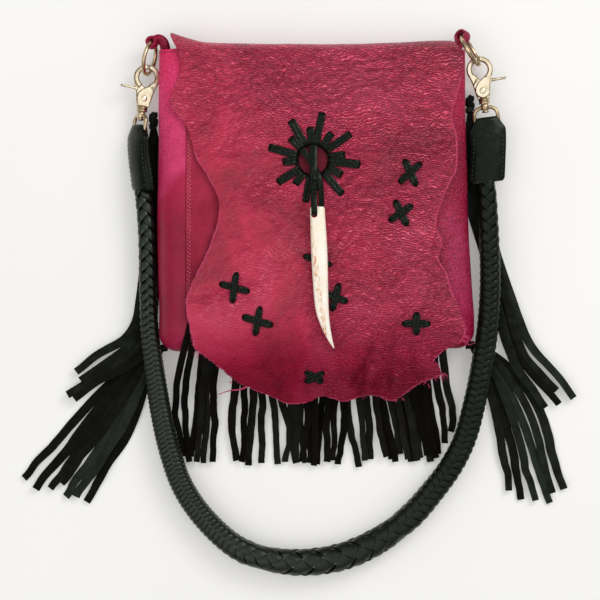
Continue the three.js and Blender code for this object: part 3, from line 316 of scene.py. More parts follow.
class Shader:
    """Short names for the nodes of one material."""

    def __init__(self, name):
        self.material = bpy.data.materials.new(name)
        self.material.use_nodes = True
        self.tree = self.material.node_tree
        self.surface = self.tree.nodes["Principled BSDF"]
        self.place = self.add("ShaderNodeTexCoord").outputs["Object"]

    def add(self, kind, **settings):
        made = self.tree.nodes.new(kind)
        for key, value in settings.items():
            setattr(made, key, value)
        return made

    def link(self, source, target):
        self.tree.links.new(source, target)

    def feed(self, value, socket):
        if isinstance(value, bpy.types.NodeSocket):
            self.link(value, socket)
        else:
            socket.default_value = value

    def noise(self, scale, detail=3.0, rough=0.55, distortion=0.0, place=None):
        made = self.add("ShaderNodeTexNoise")
        values = dict(Scale=scale, Detail=detail, Roughness=rough, Distortion=distortion)
        for socket, value in values.items():
            made.inputs[socket].default_value = value
        self.link(place or self.place, made.inputs["Vector"])
        return made.outputs["Fac"]

    def cells(self, scale, place):
        made = self.add("ShaderNodeTexVoronoi", feature="SMOOTH_F1")
        made.inputs["Scale"].default_value = scale
        self.link(place, made.inputs["Vector"])
        return made.outputs["Distance"]

    def axis(self, name):
        split = self.add("ShaderNodeSeparateXYZ")
        self.link(self.place, split.inputs[0])
        return split.outputs[name]

    def stretched(self, place, *factors):
        made = self.add("ShaderNodeMapping")
        made.inputs["Scale"].default_value = factors
        self.link(place, made.inputs["Vector"])
        return made.outputs["Vector"]

    def vector(self, operation, a, b):
        made = self.add("ShaderNodeVectorMath", operation=operation)
        self.feed(a, made.inputs[0])
        self.feed(b, made.inputs[1])
        return made.outputs["Vector"]

    def wobble(self, scale, amount):
        """The place, pushed about by soft noise."""
        grain = self.add("ShaderNodeTexNoise")
        grain.inputs["Scale"].default_value = scale
        self.link(self.place, grain.inputs["Vector"])
        centred = self.vector("SUBTRACT", grain.outputs["Color"], (0.5, 0.5, 0.5))
        return self.vector("ADD", self.place, self.vector("MULTIPLY", centred, (amount, amount, amount)))

    def ramp(self, source, *stops):
        made = self.add("ShaderNodeValToRGB")
        elements = made.color_ramp.elements
        while len(elements) < len(stops):
            elements.new(0.5)
        for element, (at, colour) in zip(elements, stops):
            element.position = at
            element.color = colour if isinstance(colour, tuple) else (colour, colour, colour, 1)
        self.link(source, made.inputs["Fac"])
        return made.outputs["Color"]

    def mix(self, factor, a, b, blend="MIX"):
        made = self.add("ShaderNodeMix", data_type="RGBA", blend_type=blend)
        for value, socket in ((factor, 0), (a, 6), (b, 7)):
            self.feed(value, made.inputs[socket])
        return made.outputs[2]

    def math(self, operation, a, b):
        made = self.add("ShaderNodeMath", operation=operation)
        self.feed(a, made.inputs[0])
        self.feed(b, made.inputs[1])
        return made.outputs["Value"]

    def bump(self, *heights, distance):
        """Bumps from pairs of height and strength, one on another."""
        before = None
        for height, strength in heights:
            made = self.add("ShaderNodeBump")
            made.inputs["Strength"].default_value = strength
            made.inputs["Distance"].default_value = distance
            self.link(height, made.inputs["Height"])
            if before:
                self.link(before, made.inputs["Normal"])
            before = made.outputs["Normal"]
        self.link(before, self.surface.inputs["Normal"])

    def colour(self, source):
        self.link(source, self.surface.inputs["Base Color"])

    def rough(self, source):
        self.link(source, self.surface.inputs["Roughness"])

    def set(self, **values):
        for key, value in values.items():
            self.surface.inputs[key.replace("_", " ")].default_value = value
        return self.material


# Wrinkles of the hide: their scale by the grain's, and how they bend
WRINKLE_SHARE = 0.37
WRINKLES = (("Distortion", 14), ("Detail", 2), ("Detail Scale", 0.7))
BEND_SCALE, BEND_REACH = 13, 0.035
PEBBLE_STRETCH = (0.8, 1.25, 1.0)
PATCH_SLANT_X, PATCH_SLANT_Y = 1.6, 1.3  # the grain, with its painted crease shade and painted highlights, shows more towards the top right, where the key light comes from
SHADED_SHEEN = ((0.37, 0.12), (0.415, 1.0))  # the lowest part of the hide shines less


def hide_material(
    name, dark, middle, light, grain, depth, blotch=11, gloss=0.34, tone=None, shine=0.45, lean=0.3,
    paling=None, ridged=0.0, crease_shade=0.66,
):
    """Dyed leather: clouds of colour, and wrinkled grain with painted shade darkening its creases and
    painted highlights paling the raised grain in patches; a tone by height adds painted light and shade.
    """
    s = Shader(name)
    x, y = s.axis("X"), s.axis("Y")
    clouds = s.ramp(s.noise(blotch, 5, 0.62, 0.6), (0.32, dark), (0.5, middle), (0.7, light))
    pebbles = s.cells(grain, s.stretched(s.wobble(grain * 0.3, 1.4 / grain), *PEBBLE_STRETCH))
    relief = s.math("SUBTRACT", 1.0, pebbles)
    if ridged:
        ridges = s.add("ShaderNodeTexWave", wave_type="BANDS", bands_direction="Y")
        for socket, value in (("Scale", WRINKLE_SHARE * grain), *WRINKLES):
            ridges.inputs[socket].default_value = value
        s.link(s.wobble(BEND_SCALE, BEND_REACH), ridges.inputs["Vector"])
        relief = s.mix(ridged, relief, ridges.outputs["Fac"])
    # painted shade: the creases of the grain are darkened in colour
    crease = s.ramp(relief, (0.34 - 0.2 * ridged, crease_shade), (0.68 - 0.2 * ridged, 1.0))
    # painted highlight: the raised grain is paled in patches, as if it caught the light
    painted_top_highlights = s.ramp(relief, (0.64, 0.0), (0.9, 0.8))
    slant = s.math("ADD", s.math("MULTIPLY", x, PATCH_SLANT_X), s.math("MULTIPLY", y, PATCH_SLANT_Y))
    patches = s.ramp(s.math("ADD", s.noise(13, 4, 0.6, 0.4), slant), (0.3, 0.2), (0.44, 0.6), (0.68, 1.0))
    crease_shaded = s.mix(patches, clouds, s.mix(1.0, clouds, crease, "MULTIPLY"))
    sheen_layer = s.mix(s.math("MULTIPLY", s.math("MULTIPLY", painted_top_highlights, patches), 0.75), crease_shaded, paling or light)
    fine = s.ramp(s.noise(420, 3), (0.3, 0.7), (0.7, 1.0))
    body = s.mix(0.22, sheen_layer, fine, "MULTIPLY")
    sheen = s.ramp(patches, (0.15, 0.85 * shine), (1.0, shine))
    # painted light and shade: the tone ramp lightens or darkens the colour by height on the bag, as the
    # light falls
    if tone:
        height = s.math("SUBTRACT", s.math("ADD", y, 0.5), s.math("MULTIPLY", x, lean))
        body = s.mix(1.0, body, s.ramp(height, *tone), "MULTIPLY")
        sheen = s.math("MULTIPLY", sheen, s.ramp(height, *SHADED_SHEEN))
    s.colour(body)
    s.rough(s.ramp(s.noise(45, 4), (0.3, gloss), (0.7, gloss + 0.16)))
    swell = s.math("MULTIPLY", relief, patches)
    s.bump((s.noise(60, 4), 0.3), (swell, depth), distance=0.0012)
    s.link(sheen, s.surface.inputs["Specular IOR Level"])
    return s.set(Specular_IOR_Level=shine)


# the flap is darkened towards its drooping bottom, a painted shade
HIDE = hide_material(
    "wine_hide", srgb(132, 12, 40), srgb(186, 26, 66), srgb(210, 56, 94), 540, 1.3, gloss=0.28,
    tone=((0.345, 0.46), (0.372, 0.62), (0.4, 0.88), (0.43, 1.0), (0.6, 1.05)), lean=0.1,
    paling=srgb(230, 120, 148), ridged=0.55, crease_shade=0.46,
)
# the panel is darkened all but a strip along its left seam, a painted shade under the flap and in the hole
PANEL = hide_material(
    "wine_panel", srgb(130, 24, 46), srgb(166, 42, 68), srgb(188, 58, 86), 700, 0.3, gloss=0.42, shine=0.1,
    tone=((0.62, 0.36), (0.8, 0.96)), lean=4,
)
# the gusset is lightened towards its top, a painted highlight, and darkened towards its bottom and right, a
# painted shade
GUSSET = hide_material(
    "raspberry_gusset", srgb(136, 8, 46), srgb(168, 18, 62), srgb(208, 62, 112), 640, 0.9, 7,
    tone=((0.38, 0.76), (0.5, 0.86), (0.62, 1.5)), shine=0.28, lean=0.25,
)
TAB = hide_material(
    "raspberry_tab", srgb(120, 8, 40), srgb(156, 18, 58), srgb(190, 52, 96), 640, 0.9, 40, shine=0.28,
)


def flesh_material():
    """The rough underside and the cut edge of the hide."""
    s = Shader("raw_hide_edge")
    fibres = s.noise(900, 4, 0.7, 1.0)
    s.colour(s.ramp(fibres, (0.25, srgb(122, 22, 46)), (0.5, srgb(172, 56, 88)), (0.8, srgb(210, 106, 134))))
    s.bump((fibres, 0.6), distance=0.0005)
    return s.set(Roughness=0.9, Specular_IOR_Level=0.15)


INK, SOFT_INK = (0.002, 0.003, 0.002, 1), (0.004, 0.006, 0.004, 1)


def black_leather_material(
    name, scale, sheen, gloss, handled=None, scuff_and_glint_scale=240, pale=(0.014, 0.022, 0.014, 1),
):
    """Black lace and braid: faint creases, scuffed flecks and a satin surface, shinier where it is handled;
    the pale flecks are scuffing on the braid and sleeve and painted glints on the lace.
    """
    s = Shader(name)
    scuffs_and_glints = s.noise(scuff_and_glint_scale, 4, 0.65)
    # pale flecks: scuffing on the braid and sleeve, painted glints on the lace
    s.colour(s.ramp(scuffs_and_glints, (0.35, INK), (0.58, SOFT_INK), (0.8, pale)))
    s.rough(s.ramp(s.noise(330, 3), (0.3, gloss), (0.7, gloss + 0.16)))
    s.bump((s.noise(scale, 3, 0.5, 1.0), 0.4), distance=0.0006)
    if handled:
        sheen_layer = s.ramp(s.math("ADD", s.axis("X"), 0.5), *handled)
        s.link(sheen_layer, s.surface.inputs["Specular IOR Level"])
    return s.set(Specular_IOR_Level=sheen, Specular_Tint=(0.86, 1.0, 0.84, 1))


def suede_material(name, dark, middle, light):
    """Near-black suede with a nap that catches a little light; each strip has its own tone."""
    s = Shader(name)
    nap = s.noise(1700, 3, 0.7, 0.6)
    island = s.add("ShaderNodeNewGeometry").outputs["Random Per Island"]
    paling = s.math("ADD", s.math("MULTIPLY", s.noise(120, 4, 0.6), 0.6), s.math("MULTIPLY", island, 0.5))
    colour = s.ramp(paling, (0.3, dark), (0.55, middle), (0.8, light))
    s.colour(s.mix(0.5, colour, s.ramp(nap, (0.3, 0.4), (0.75, 1.0)), "MULTIPLY"))
    s.bump((nap, 0.5), (s.noise(160, 3), 0.3), distance=0.0005)
    return s.set(Roughness=0.8, Specular_IOR_Level=0.06, Sheen_Weight=0.03, Sheen_Roughness=0.5)


BAND_LEAN, BAND_SHIFT = 0.145, 0.007  # the band of flecks, by its slope and its distance from the middle


def bone_material():
    """Ivory bone with orange-brown flecks that run along it, thickest left of the middle."""
    s = Shader("flecked_bone")
    long = s.stretched(s.place, 1.0, 0.34, 1.0)
    flecks = s.ramp(s.noise(620, 5, 0.72, 0.4, long), (0.47, 0.0), (0.6, 1.0))
    aside = s.math("ADD", s.axis("X"), s.math("MULTIPLY", s.axis("Y"), BAND_LEAN))
    band = s.math("ABSOLUTE", s.math("ADD", aside, BAND_SHIFT), 0)
    near = s.ramp(s.math("MULTIPLY", band, 220), (0.12, 1.0), (0.6, 0.06))
    ivory = s.ramp(s.noise(70, 4, 0.6, 0.3, long), (0.3, srgb(244, 226, 196)), (0.6, srgb(254, 246, 232)))
    stain = s.ramp(s.noise(240, 3), (0.35, srgb(186, 98, 26)), (0.7, srgb(232, 158, 66)))
    s.colour(s.mix(s.math("MULTIPLY", flecks, near), ivory, stain))
    s.rough(s.ramp(s.noise(300, 3), (0.3, 0.3), (0.7, 0.48)))
    s.bump((flecks, 0.1), (s.noise(260, 4, 0.6, 0.2, long), 0.2), distance=0.0004)
    return s.set(Subsurface_Weight=0.08, Subsurface_Scale=0.003)


def brass_material(name, dark, middle, light):
    """Antique brass, smooth, with brown tarnish in places."""
    s = Shader(name)
    s.colour(s.ramp(s.noise(110, 3, 0.5, 0.3), (0.3, dark), (0.5, middle), (0.75, light)))
    s.rough(s.ramp(s.noise(260, 3), (0.3, 0.22), (0.7, 0.34)))
    s.bump((s.noise(420, 2), 0.05), distance=0.0002)
    return s.set(Metallic=1.0)


def thread_material(name, colour):
    s = Shader(name)
    twist = s.noise(2600, 2)
    dark = tuple(0.55 * c for c in colour[:3]) + (1,)
    s.colour(s.ramp(twist, (0.3, dark), (0.65, colour)))
    s.bump((twist, 0.4), distance=0.0003)
    return s.set(Roughness=0.7)


FLESH = flesh_material()
# the lace's pale flecks are painted glints
LACE = black_leather_material("black_lace", 520, 0.13, 0.1, scuff_and_glint_scale=620, pale=(0.06, 0.065, 0.057, 1))
BRAID = black_leather_material(
    "black_braid_leather", 300, 0.36, 0.26, handled=((0.37, 0.46), (0.5, 0.38), (0.61, 0.2)),
)
SLEEVE = black_leather_material("black_sleeve_leather", 90, 0.15, 0.2)
SUEDE = suede_material(
    "black_suede", (0.003, 0.003, 0.002, 1), (0.008, 0.009, 0.007, 1), (0.022, 0.028, 0.021, 1),
)
BROWN_SUEDE = suede_material(
    "brown_black_suede", (0.002, 0.0014, 0.0008, 1), (0.005, 0.004, 0.0028, 1), (0.012, 0.012, 0.009, 1),
)
BONE = bone_material()
BRASS = brass_material("pale_brass", (0.58, 0.46, 0.29, 1), (0.82, 0.72, 0.53, 1), (0.94, 0.87, 0.72, 1))
ANTIQUE = brass_material("antique_brass", (0.2, 0.14, 0.08, 1), (0.46, 0.35, 0.21, 1), (0.76, 0.64, 0.44, 1))
PALE_THREAD = thread_material("pale_thread", srgb(222, 162, 172))
WINE_THREAD = thread_material("wine_thread", srgb(120, 24, 46))
BLACK_THREAD = thread_material("black_thread", (0.022, 0.028, 0.022, 1))
CORE = thread_material("pale_core_cord", srgb(226, 220, 206))


# Strap: eight thongs braided round a pale core, on the route of the solid, which is in metres.
# The tables go by share of its length.
STRAP_ROUTE = [
    (-0.1361, 0.0100, 0.0148), (-0.1350, 0.0017, 0.0150), (-0.1332, -0.0120, 0.0146),
    (-0.1316, -0.0370, 0.0136), (-0.1310, -0.0800, 0.0130), (-0.1294, -0.1120, 0.0150),
    (-0.1260, -0.1400, 0.0150), (-0.1206, -0.1760, 0.0114), (-0.1136, -0.2060, 0.0114),
    (-0.1036, -0.2335, 0.0102), (-0.0860, -0.2590, 0.0101), (-0.0605, -0.2815, 0.0109),
    (-0.0382, -0.2900, 0.0116), (-0.0100, -0.2933, 0.0118), (0.0220, -0.2890, 0.0116),
    (0.0517, -0.2760, 0.0115), (0.0775, -0.2566, 0.0113), (0.0945, -0.2375, 0.0110),
    (0.1100, -0.2164, 0.0120), (0.1206, -0.1950, 0.0116), (0.1286, -0.1644, 0.0140),
    (0.1340, -0.1365, 0.0154), (0.1386, -0.1047, 0.0157), (0.1404, -0.0768, 0.0155),
    (0.1400, -0.0450, 0.0155), (0.1386, -0.0100, 0.0148), (0.1377, 0.0083, 0.0145),
    (0.1381, 0.0165, 0.0145),
]
STRAP_RADIUS = Table(
    (0, 4.2), (0.006, 4.6), (0.0115, 6.4), (0.028, 7.0), (0.14, 7.2), (0.2, 8.2), (0.26, 8.8), (0.4, 9.6),
    (0.5, 11), (0.57, 11), (0.68, 9.6), (0.82, 8.9), (0.962, 7.6), (0.9885, 6.7), (0.994, 4.6), (1, 4.3),
)
BRAID_STEP = Table(
    (0, 11), (0.07, 10), (0.13, 7), (0.17, 4.4), (0.22, 3.8), (0.36, 3.9), (0.41, 6), (0.47, 15.4),
    (0.55, 15.4), (0.61, 8), (0.68, 5.8), (0.87, 5.8), (0.91, 6.6), (0.945, 9.2), (1, 9.6),
)
BRAID_COVER = Table(
    (0, 1.12), (0.42, 1.08), (0.48, 0.93), (0.53, 0.93), (0.57, 1.04), (0.66, 1.08), (1, 1.12),
)
HERRINGBONE = Table((0.43, 1), (0.47, 0), (0.57, 0), (0.61, 1))
THONG = Table((0.12, 3.0), (0.2, 2.6), (0.38, 2.6), (0.47, 1.8), (0.57, 1.8), (0.64, 2.7))
THONGS_EACH_WAY = 4
SAMPLES_A_STEP = 7
SEAT = pi / 8  # turn of the whole braid about its core
CORE_EVERY, CORE_LEAST, CORE_DEPTH, CORE_SHRINK = 3, 1.2, 3.2, 3


def make_strap():
    route = Curve([Vector(p) / MM for p in STRAP_ROUTE], 60)
    shares, share = [0.0], 0.0
    while share < 1:
        share = min(1.0, share + BRAID_STEP(share) / SAMPLES_A_STEP / route.length)
        shares.append(share)
    turns = [0.0]
    for a, b in zip(shares, shares[1:]):
        gone = (b - a) * route.length / BRAID_STEP((a + b) / 2)
        turns.append(turns[-1] + 2 * pi * gone / THONGS_EACH_WAY)
    frames = []
    for share in shares:
        ahead = route.ahead(share)
        side = ahead.cross(UP).normalized()
        frames.append((route.at(share), side, side.cross(ahead).normalized()))
    form = Form()
    for way in (1, -1):
        for i in range(THONGS_EACH_WAY):
            path, faces, widths, thicks = [], [], [], []
            for share, turn, (middle, side, up) in zip(shares, turns, frames):
                angle = way * turn + 2 * pi * i / THONGS_EACH_WAY + SEAT
                out = side * cos(angle) + up * sin(angle)
                herring = HERRINGBONE(share)
                weave = lerp(cos(4 * (angle - SEAT)), -sin(2 * angle), herring)
                sway = THONG(share) * lerp(0.55, 0.72, herring)
                mean = STRAP_RADIUS(share) - sway * lerp(1, 0.5, herring) - THONG(share) / 2
                path.append(middle + out * (mean + way * sway * weave))
                faces.append(out)
                round_it = 2 * pi * mean / THONGS_EACH_WAY
                step = BRAID_STEP(share)
                widths.append(BRAID_COVER(share) * round_it * step / hypot(round_it, step))
                thicks.append(THONG(share))
            form.ribbon(path, widths, thicks, faces, sides=8, square=1.0)
    core = [middle for middle, _, _ in frames][::CORE_EVERY]
    thicks = []
    for k in range(len(core)):
        shrink = CORE_DEPTH + CORE_SHRINK * HERRINGBONE(k / (len(core) - 1))
        thicks.append(2 * max(CORE_LEAST, STRAP_RADIUS(shares[CORE_EVERY * k]) - shrink))
    form.ribbon(core, thicks, thicks, sides=10, square=1.0, slot=1)
    strap = make("strap_braid_thongs", form, [BRAID, CORE], replaces=["strap_braid"])
    [tuple(route.at(k / 120) * MM) for k in range(121)]


# Pouch, in the shape of the solids
MOUTH_Y = 113.5
SEAM_LEFT, SEAM_RIGHT, SEAM_BOTTOM, SEAM_CORNER = -100, 101, -104, 8
SEWN_RIGHT = 93.5  # the front seam's right side, under the flap
BOTTOM_LEFT, BOTTOM_RIGHT, BOTTOM_CORNER = -126, -123.5, 14
BACK_INSET, BACK_LIP = 7, 2.5
GUSSET_FOOT = -55
CROWN, CROWN_FADE = 3, 30
LEATHER, GAP = 2, 0.35
DEPTH, REACH_LEFT, REACH_RIGHT, BULGE = tables([
    (-96, 42, -122.5, 127.8, 0.43), (-40, 41, -124, 124.3, 0.43), (10, 38.5, -123.8, 122.6, 0.45),
    (60, 33.5, -122.6, 121, 0.58), (MOUTH_Y, 27, -122.4, 120.6, 0.7),
])
SIDE_STATIONS, CORNER_STATIONS, BOTTOM_STATIONS = 60, 10, 40


def crown_at(x, y):
    middle = (SEAM_LEFT + SEAM_RIGHT) / 2
    share = min(1, abs(x - middle) / ((SEAM_RIGHT - SEAM_LEFT) / 2))
    return CROWN * (1 - share**2) * smoothstep(y, SEAM_BOTTOM, SEAM_BOTTOM + CROWN_FADE)


def round_pouch(left_at, right_at, bottom_left, bottom_right, corner):
    """Places down the left side, round the bottom and up the right side."""
    places = []
    low_left, low_right = bottom_left + corner, bottom_right + corner
    corner_left, corner_right = left_at(low_left) + corner, right_at(low_right) - corner

    def go_round(x, y, start):
        for i in range(CORNER_STATIONS + 1):
            turn = start + pi / 2 * i / CORNER_STATIONS
            places.append(Vector((x + corner * cos(turn), y + corner * sin(turn))))

    for i in range(SIDE_STATIONS):
        y = lerp(MOUTH_Y, low_left, i / SIDE_STATIONS)
        places.append(Vector((left_at(y), y)))
    go_round(corner_left, low_left, pi)
    for i in range(1, BOTTOM_STATIONS):
        share = i / BOTTOM_STATIONS
        x = lerp(corner_left, corner_right, share)
        places.append(Vector((x, lerp(bottom_left, bottom_right, share))))
    go_round(corner_right, low_right, 1.5 * pi)
    for i in reversed(range(SIDE_STATIONS)):
        y = lerp(MOUTH_Y, low_right, i / SIDE_STATIONS)
        places.append(Vector((right_at(y), y)))
    return places


def edge_inside(inset):
    """The widest line of the gusset, drawn in by the inset."""
    return round_pouch(
        lambda y: REACH_LEFT(y) + inset, lambda y: REACH_RIGHT(y) - inset,
        BOTTOM_LEFT + inset, BOTTOM_RIGHT + inset, BOTTOM_CORNER - inset / 2,
    )


def seam_edge(inset):
    """The seam of the front panel, drawn in by the inset."""
    bottom = SEAM_BOTTOM + inset
    return round_pouch(
        lambda y: SEAM_LEFT + inset, lambda y: SEWN_RIGHT - inset, bottom, bottom, SEAM_CORNER - inset,
    )


STITCH_SUNK = 0.1


def stitches(form, path, facing, spacing, length, radius, slot=0, start=0.5):
    """Thread stitches along a path, each a small rounded bar half in the leather."""
    def thick(at):
        return 2 * radius * (0.55 + 0.45 * sin(pi * at))

    line = Curve(path, 4)
    count = int(line.length / spacing)
    for k in range(count):
        share = (k + start) / count
        ahead = line.ahead(share)
        up = facing(share)
        middle = line.at(share) - up * STITCH_SUNK
        bar = []
        for t in (-1, -0.7, 0, 0.7, 1):
            dip = up * (0.7 * radius * abs(t) ** 2)
            bar.append(middle + ahead * (length / 2 * t) - dip)
        form.ribbon(bar, thick, thick, up, sides=6, square=1.0, slot=slot)


GUSSET_STEPS = 26
SLACK = 0.55


def make_gusset():
    """The strip round the sides and bottom, slack where it bulges most; its grid is for the stitches."""
    back, outer, front = edge_inside(BACK_INSET), edge_inside(LEATHER / 2), seam_edge(0)
    foot = LEATHER + GAP + LEATHER / 2
    foot_cos = cos(radians(GUSSET_FOOT))
    grid = []
    for s, bulge in enumerate(outer):
        depth = DEPTH(front[s].y) - LEATHER / 2
        middle = depth * BULGE(front[s].y)
        section = []
        for k in range(GUSSET_STEPS + 1):
            turn = radians(lerp(GUSSET_FOOT, 90, k / GUSSET_STEPS))
            low = turn < 0
            share = (cos(turn) - foot_cos) / (1 - foot_cos) if low else cos(turn)
            place = (back[s] if low else front[s]).lerp(bulge, share)
            rise = (middle - foot) / -sin(radians(GUSSET_FOOT)) if low else depth - middle
            spot = Vector((place.x, place.y, middle + rise * sin(turn)))
            inward = Vector((-place.x, -place.y - 10, 0)).normalized()
            slack = smoothstep(share, 0.25, 0.8) * (SLACK + SLACK * wave(s * 4.2, k * 3.0, 34, 5))
            section.append(spot + inward * slack)
        grid.append(section)
    form = Form()
    form.sheet(grid, LEATHER, slots=(0, 1, 1))
    make("gusset_leather_strip", form, [GUSSET, FLESH], replaces=["gusset"])
    return grid


PANEL_SAG, SAG_LENGTH, SAG_FADE, PANEL_SINK = 0.35, 40, 14, 0.35
LIP_RISE, LIP_WIDTH, LIP_FADE = 0.3, 5.5, 2.5


def make_front_panel():
    """The front of the pouch: it sags a little and rises to a lip along its seam."""
    columns, rows, corner_rows = 70, 70, 8
    left, right, bottom = SEAM_LEFT + GAP, SEWN_RIGHT - GAP, SEAM_BOTTOM + GAP
    corner = SEAM_CORNER - GAP
    lines = [(lerp(MOUTH_Y - 1.5, bottom + corner, i / rows), 0) for i in range(rows)]
    for i in range(corner_rows + 1):
        turn = pi / 2 * i / corner_rows
        lines.append((bottom + corner - corner * sin(turn), corner * (1 - cos(turn))))
    grid = []
    for y, pull in lines:
        row = []
        for j in range(columns + 1):
            x = lerp(left + pull, right - pull, j / columns)
            aside = min(x - left, right - x)
            sag = PANEL_SAG * wave(x, y, SAG_LENGTH, 9) * smoothstep(aside, 0, SAG_FADE)
            lip = LIP_RISE * smoothstep(LIP_WIDTH - min(aside, y - bottom), 0, LIP_FADE)
            row.append(Vector((x, y, DEPTH(y) + crown_at(x, y) - LEATHER / 2 + sag - PANEL_SINK + lip)))
        grid.append(row)
    form = Form()
    form.sheet(grid, LEATHER, slots=(0, 1, 1))
    make("front_panel_leather", form, [PANEL, FLESH], replaces=["front_panel"])


BACK_EDGE = ((0.7, 0.0), (0.15, 0.35), (0.0, 1.0), (0.15, 1.65), (0.7, 2.0))  # inset and height


def make_back_panel():
    rings = []
    for inset, z in BACK_EDGE:
        rings.append([Vector((p.x, p.y, z)) for p in edge_inside(BACK_INSET - BACK_LIP + inset)])
    form = Form()
    form.rings(rings)
    make("back_panel_leather", form, [PANEL], replaces=["back_panel"])


def make_seam_stitches(gusset_grid):
    """Pale top-stitching inside the front seam, and rows along the gusset's mouth at each side."""
    form = Form()
    for inset, start in ((2.0, 0.25), (3.4, 0.75)):
        front = [Vector((p.x, p.y, DEPTH(p.y) + crown_at(p.x, p.y) - 0.2)) for p in seam_edge(inset)]
        stitches(form, front[2:-2], lambda share: UP, spacing=3.0, length=1.7, radius=0.4, start=start)
    for edge, below in ((0, 1), (-1, -2)):
        line = [a.lerp(b, 0.62) for a, b in zip(gusset_grid[edge][6:], gusset_grid[below][6:])]
        out = []
        for k, p in enumerate(line):
            a, b = line[max(k - 1, 0)], line[min(k + 1, len(line) - 1)]
            normal = (b - a).cross(Vector((0, 1, 0))).normalized()
            if normal.x * p.x < 0:
                normal.negate()
            out.append((p + normal * (LEATHER / 2 + 0.1), normal))
        path = [p for p, _ in out]
        stitches(
            form, path, lambda share: out[min(int(share * len(out)), len(out) - 1)][1],
            spacing=3.2, length=2.2, radius=0.36, slot=1,
        )
    make("seam_stitches", form, [PALE_THREAD, WINE_THREAD])


# Flap: raw-edged hide folded over the mouth
FLAP_TOP, TAIL_END = 111, 96
TAIL_Z = 2 + GAP + LEATHER / 2
CORNER_LEFT, CORNER_RIGHT = Vector((-92.5, -122.4)), Vector((101, -141.3))
FLAP_BUNCHING = 1.25
HOLE = Vector((-0.2, 24.6))
HOLE_RADIUS = 14.0
FLAP_LEFT = Table(
    (-122.4, -92.5), (-108, -96), (-89, -99.3), (-75, -96.3), (-43, -81), (-10, -73.3), (14, -84),
    (24, -90.6), (50, -98.8), (70, -112), (86, -106.4), (99, -103.4), (111, -106.2),
)
FLAP_RIGHT = Table(
    (-141.3, 101), (-137, 99), (-131, 94.6), (-121.6, 103.3), (-117, 112.6), (-107, 118.6), (-81, 109.3),
    (-62, 103.5), (-51, 97.2), (-39, 100.3), (-24, 95.8), (5, 105.3), (17, 111.5), (41, 112.6), (60, 109),
    (87, 116), (101, 118.3), (111, 116.5),
)
FLAP_BOTTOM = Table(
    (-92.5, -122.4), (-80, -131.7), (-60, -148), (-31, -161.5), (-20, -166.5), (-6, -165.6), (8, -160.5),
    (26, -164.3), (46, -158.6), (64, -163.2), (78, -154.3), (92, -146.5), (101, -141.3),
)
FOLD_LEFT, FOLD_RIGHT = tables([(-90, -104, 104), (0, -112.6, 107), (45, -111.4, 112), (90, -106.2, 116.5)])
FOLD_LINE = Table((-113, 128), (-98, 122.9), (-84, 119.8), (-30, 118.2), (37, 118.4), (97, 121), (113, 121))
FLAP_LIFT = Table((-100, 5.1), (-60, 3.3), (20, 1.2), (113, 2.4))
SIDE_DROOP = Table((0, 0), (5, 0.4), (10, 1.4), (15, 3.2), (20, 5.8))
BOTTOM_DROOP = Table((0, 0), (12, 1), (22, 3.6), (32, 8), (45, 15.5), (58, 22), (70, 26))
DROOP_START = -100
RUFFLE_RISE, RUFFLE_LENGTH = 1.2, 41

# Creases in the hide: from, to, half width and height
CREASES = [
    ((-88, -108), (-77, -84), 3.2, 0.55), ((-80, -112), (-70, -86), 2.6, -0.5),
    ((-72, -110), (-66, -84), 2.6, 0.5), ((-62, -86), (-40, -69), 3.4, 0.45),
    ((-96, -92), (-84, -70), 3.0, -0.45), ((-60, -128), (10, -150), 4.2, 0.5),
    ((40, -140), (86, -128), 4.0, 0.5), ((84, -92), (104, -112), 3.6, 0.5),
    ((70, -30), (96, -52), 4.0, 0.35), ((-100, 84), (-60, 70), 4.5, 0.5), ((-98, 60), (-70, 40), 4.0, -0.4),
    ((60, 92), (104, 66), 5.0, 0.45), ((-20, 92), (30, 70), 6.0, 0.35), ((20, -20), (60, -44), 4.5, 0.3),
    ((-50, 10), (-72, -22), 4.0, 0.4), ((45, -119), (33, -157), 3.4, -4.2),
    ((51, -115), (41, -160), 4.8, 4.4), ((59, -118), (56, -158), 3.4, -3.0),
    ((66, -114), (66, -160), 4.6, 3.2), ((74, -118), (77, -150), 3.2, -2.4),
    ((79, -112), (89, -146), 4.8, 2.6), ((86, -40), (100, -44), 2.4, 0.7),
    ((82, -46), (98, -50), 2.2, -0.6), ((90, -76), (94, -74), 5.0, -1.2), ((72, -58), (78, -78), 4.0, -0.6),
    ((-96, -100), (-88, -96), 2.6, 0.6), ((10, 60), (16, 96), 5.0, 0.5), ((50, 60), (46, 100), 5.5, -0.5),
    ((114, 46), (78, 31), 6.0, 2.2), ((110, 60), (82, 76), 7.0, -1.6), ((112, 17), (94, -14), 5.5, 1.8),
    ((60, 3), (80, -3), 5.0, 1.2), ((90, 22), (62, 34), 6.0, -1.2), ((104, -28), (86, -46), 5.0, 1.6),
    ((31, -150), (54, -154), 2.2, -2.0), ((32, -156), (52, -160), 2.4, 2.4),
    ((60, -128), (72, -120), 3.0, -1.2),
]

# Rays of lace round the hole: turn in degrees and reach from the middle of the hole
RAYS = [
    (-6, 37.5), (9, 26), (35, 36.5), (55, 26.6), (79, 38.5), (95, 26.6), (119, 36.5), (136, 25.6),
    (164, 36.5), (184, 24.4), (213, 33.5), (234, 24.4), (260, 34), (283, 25), (310, 36), (332, 26.4),
]

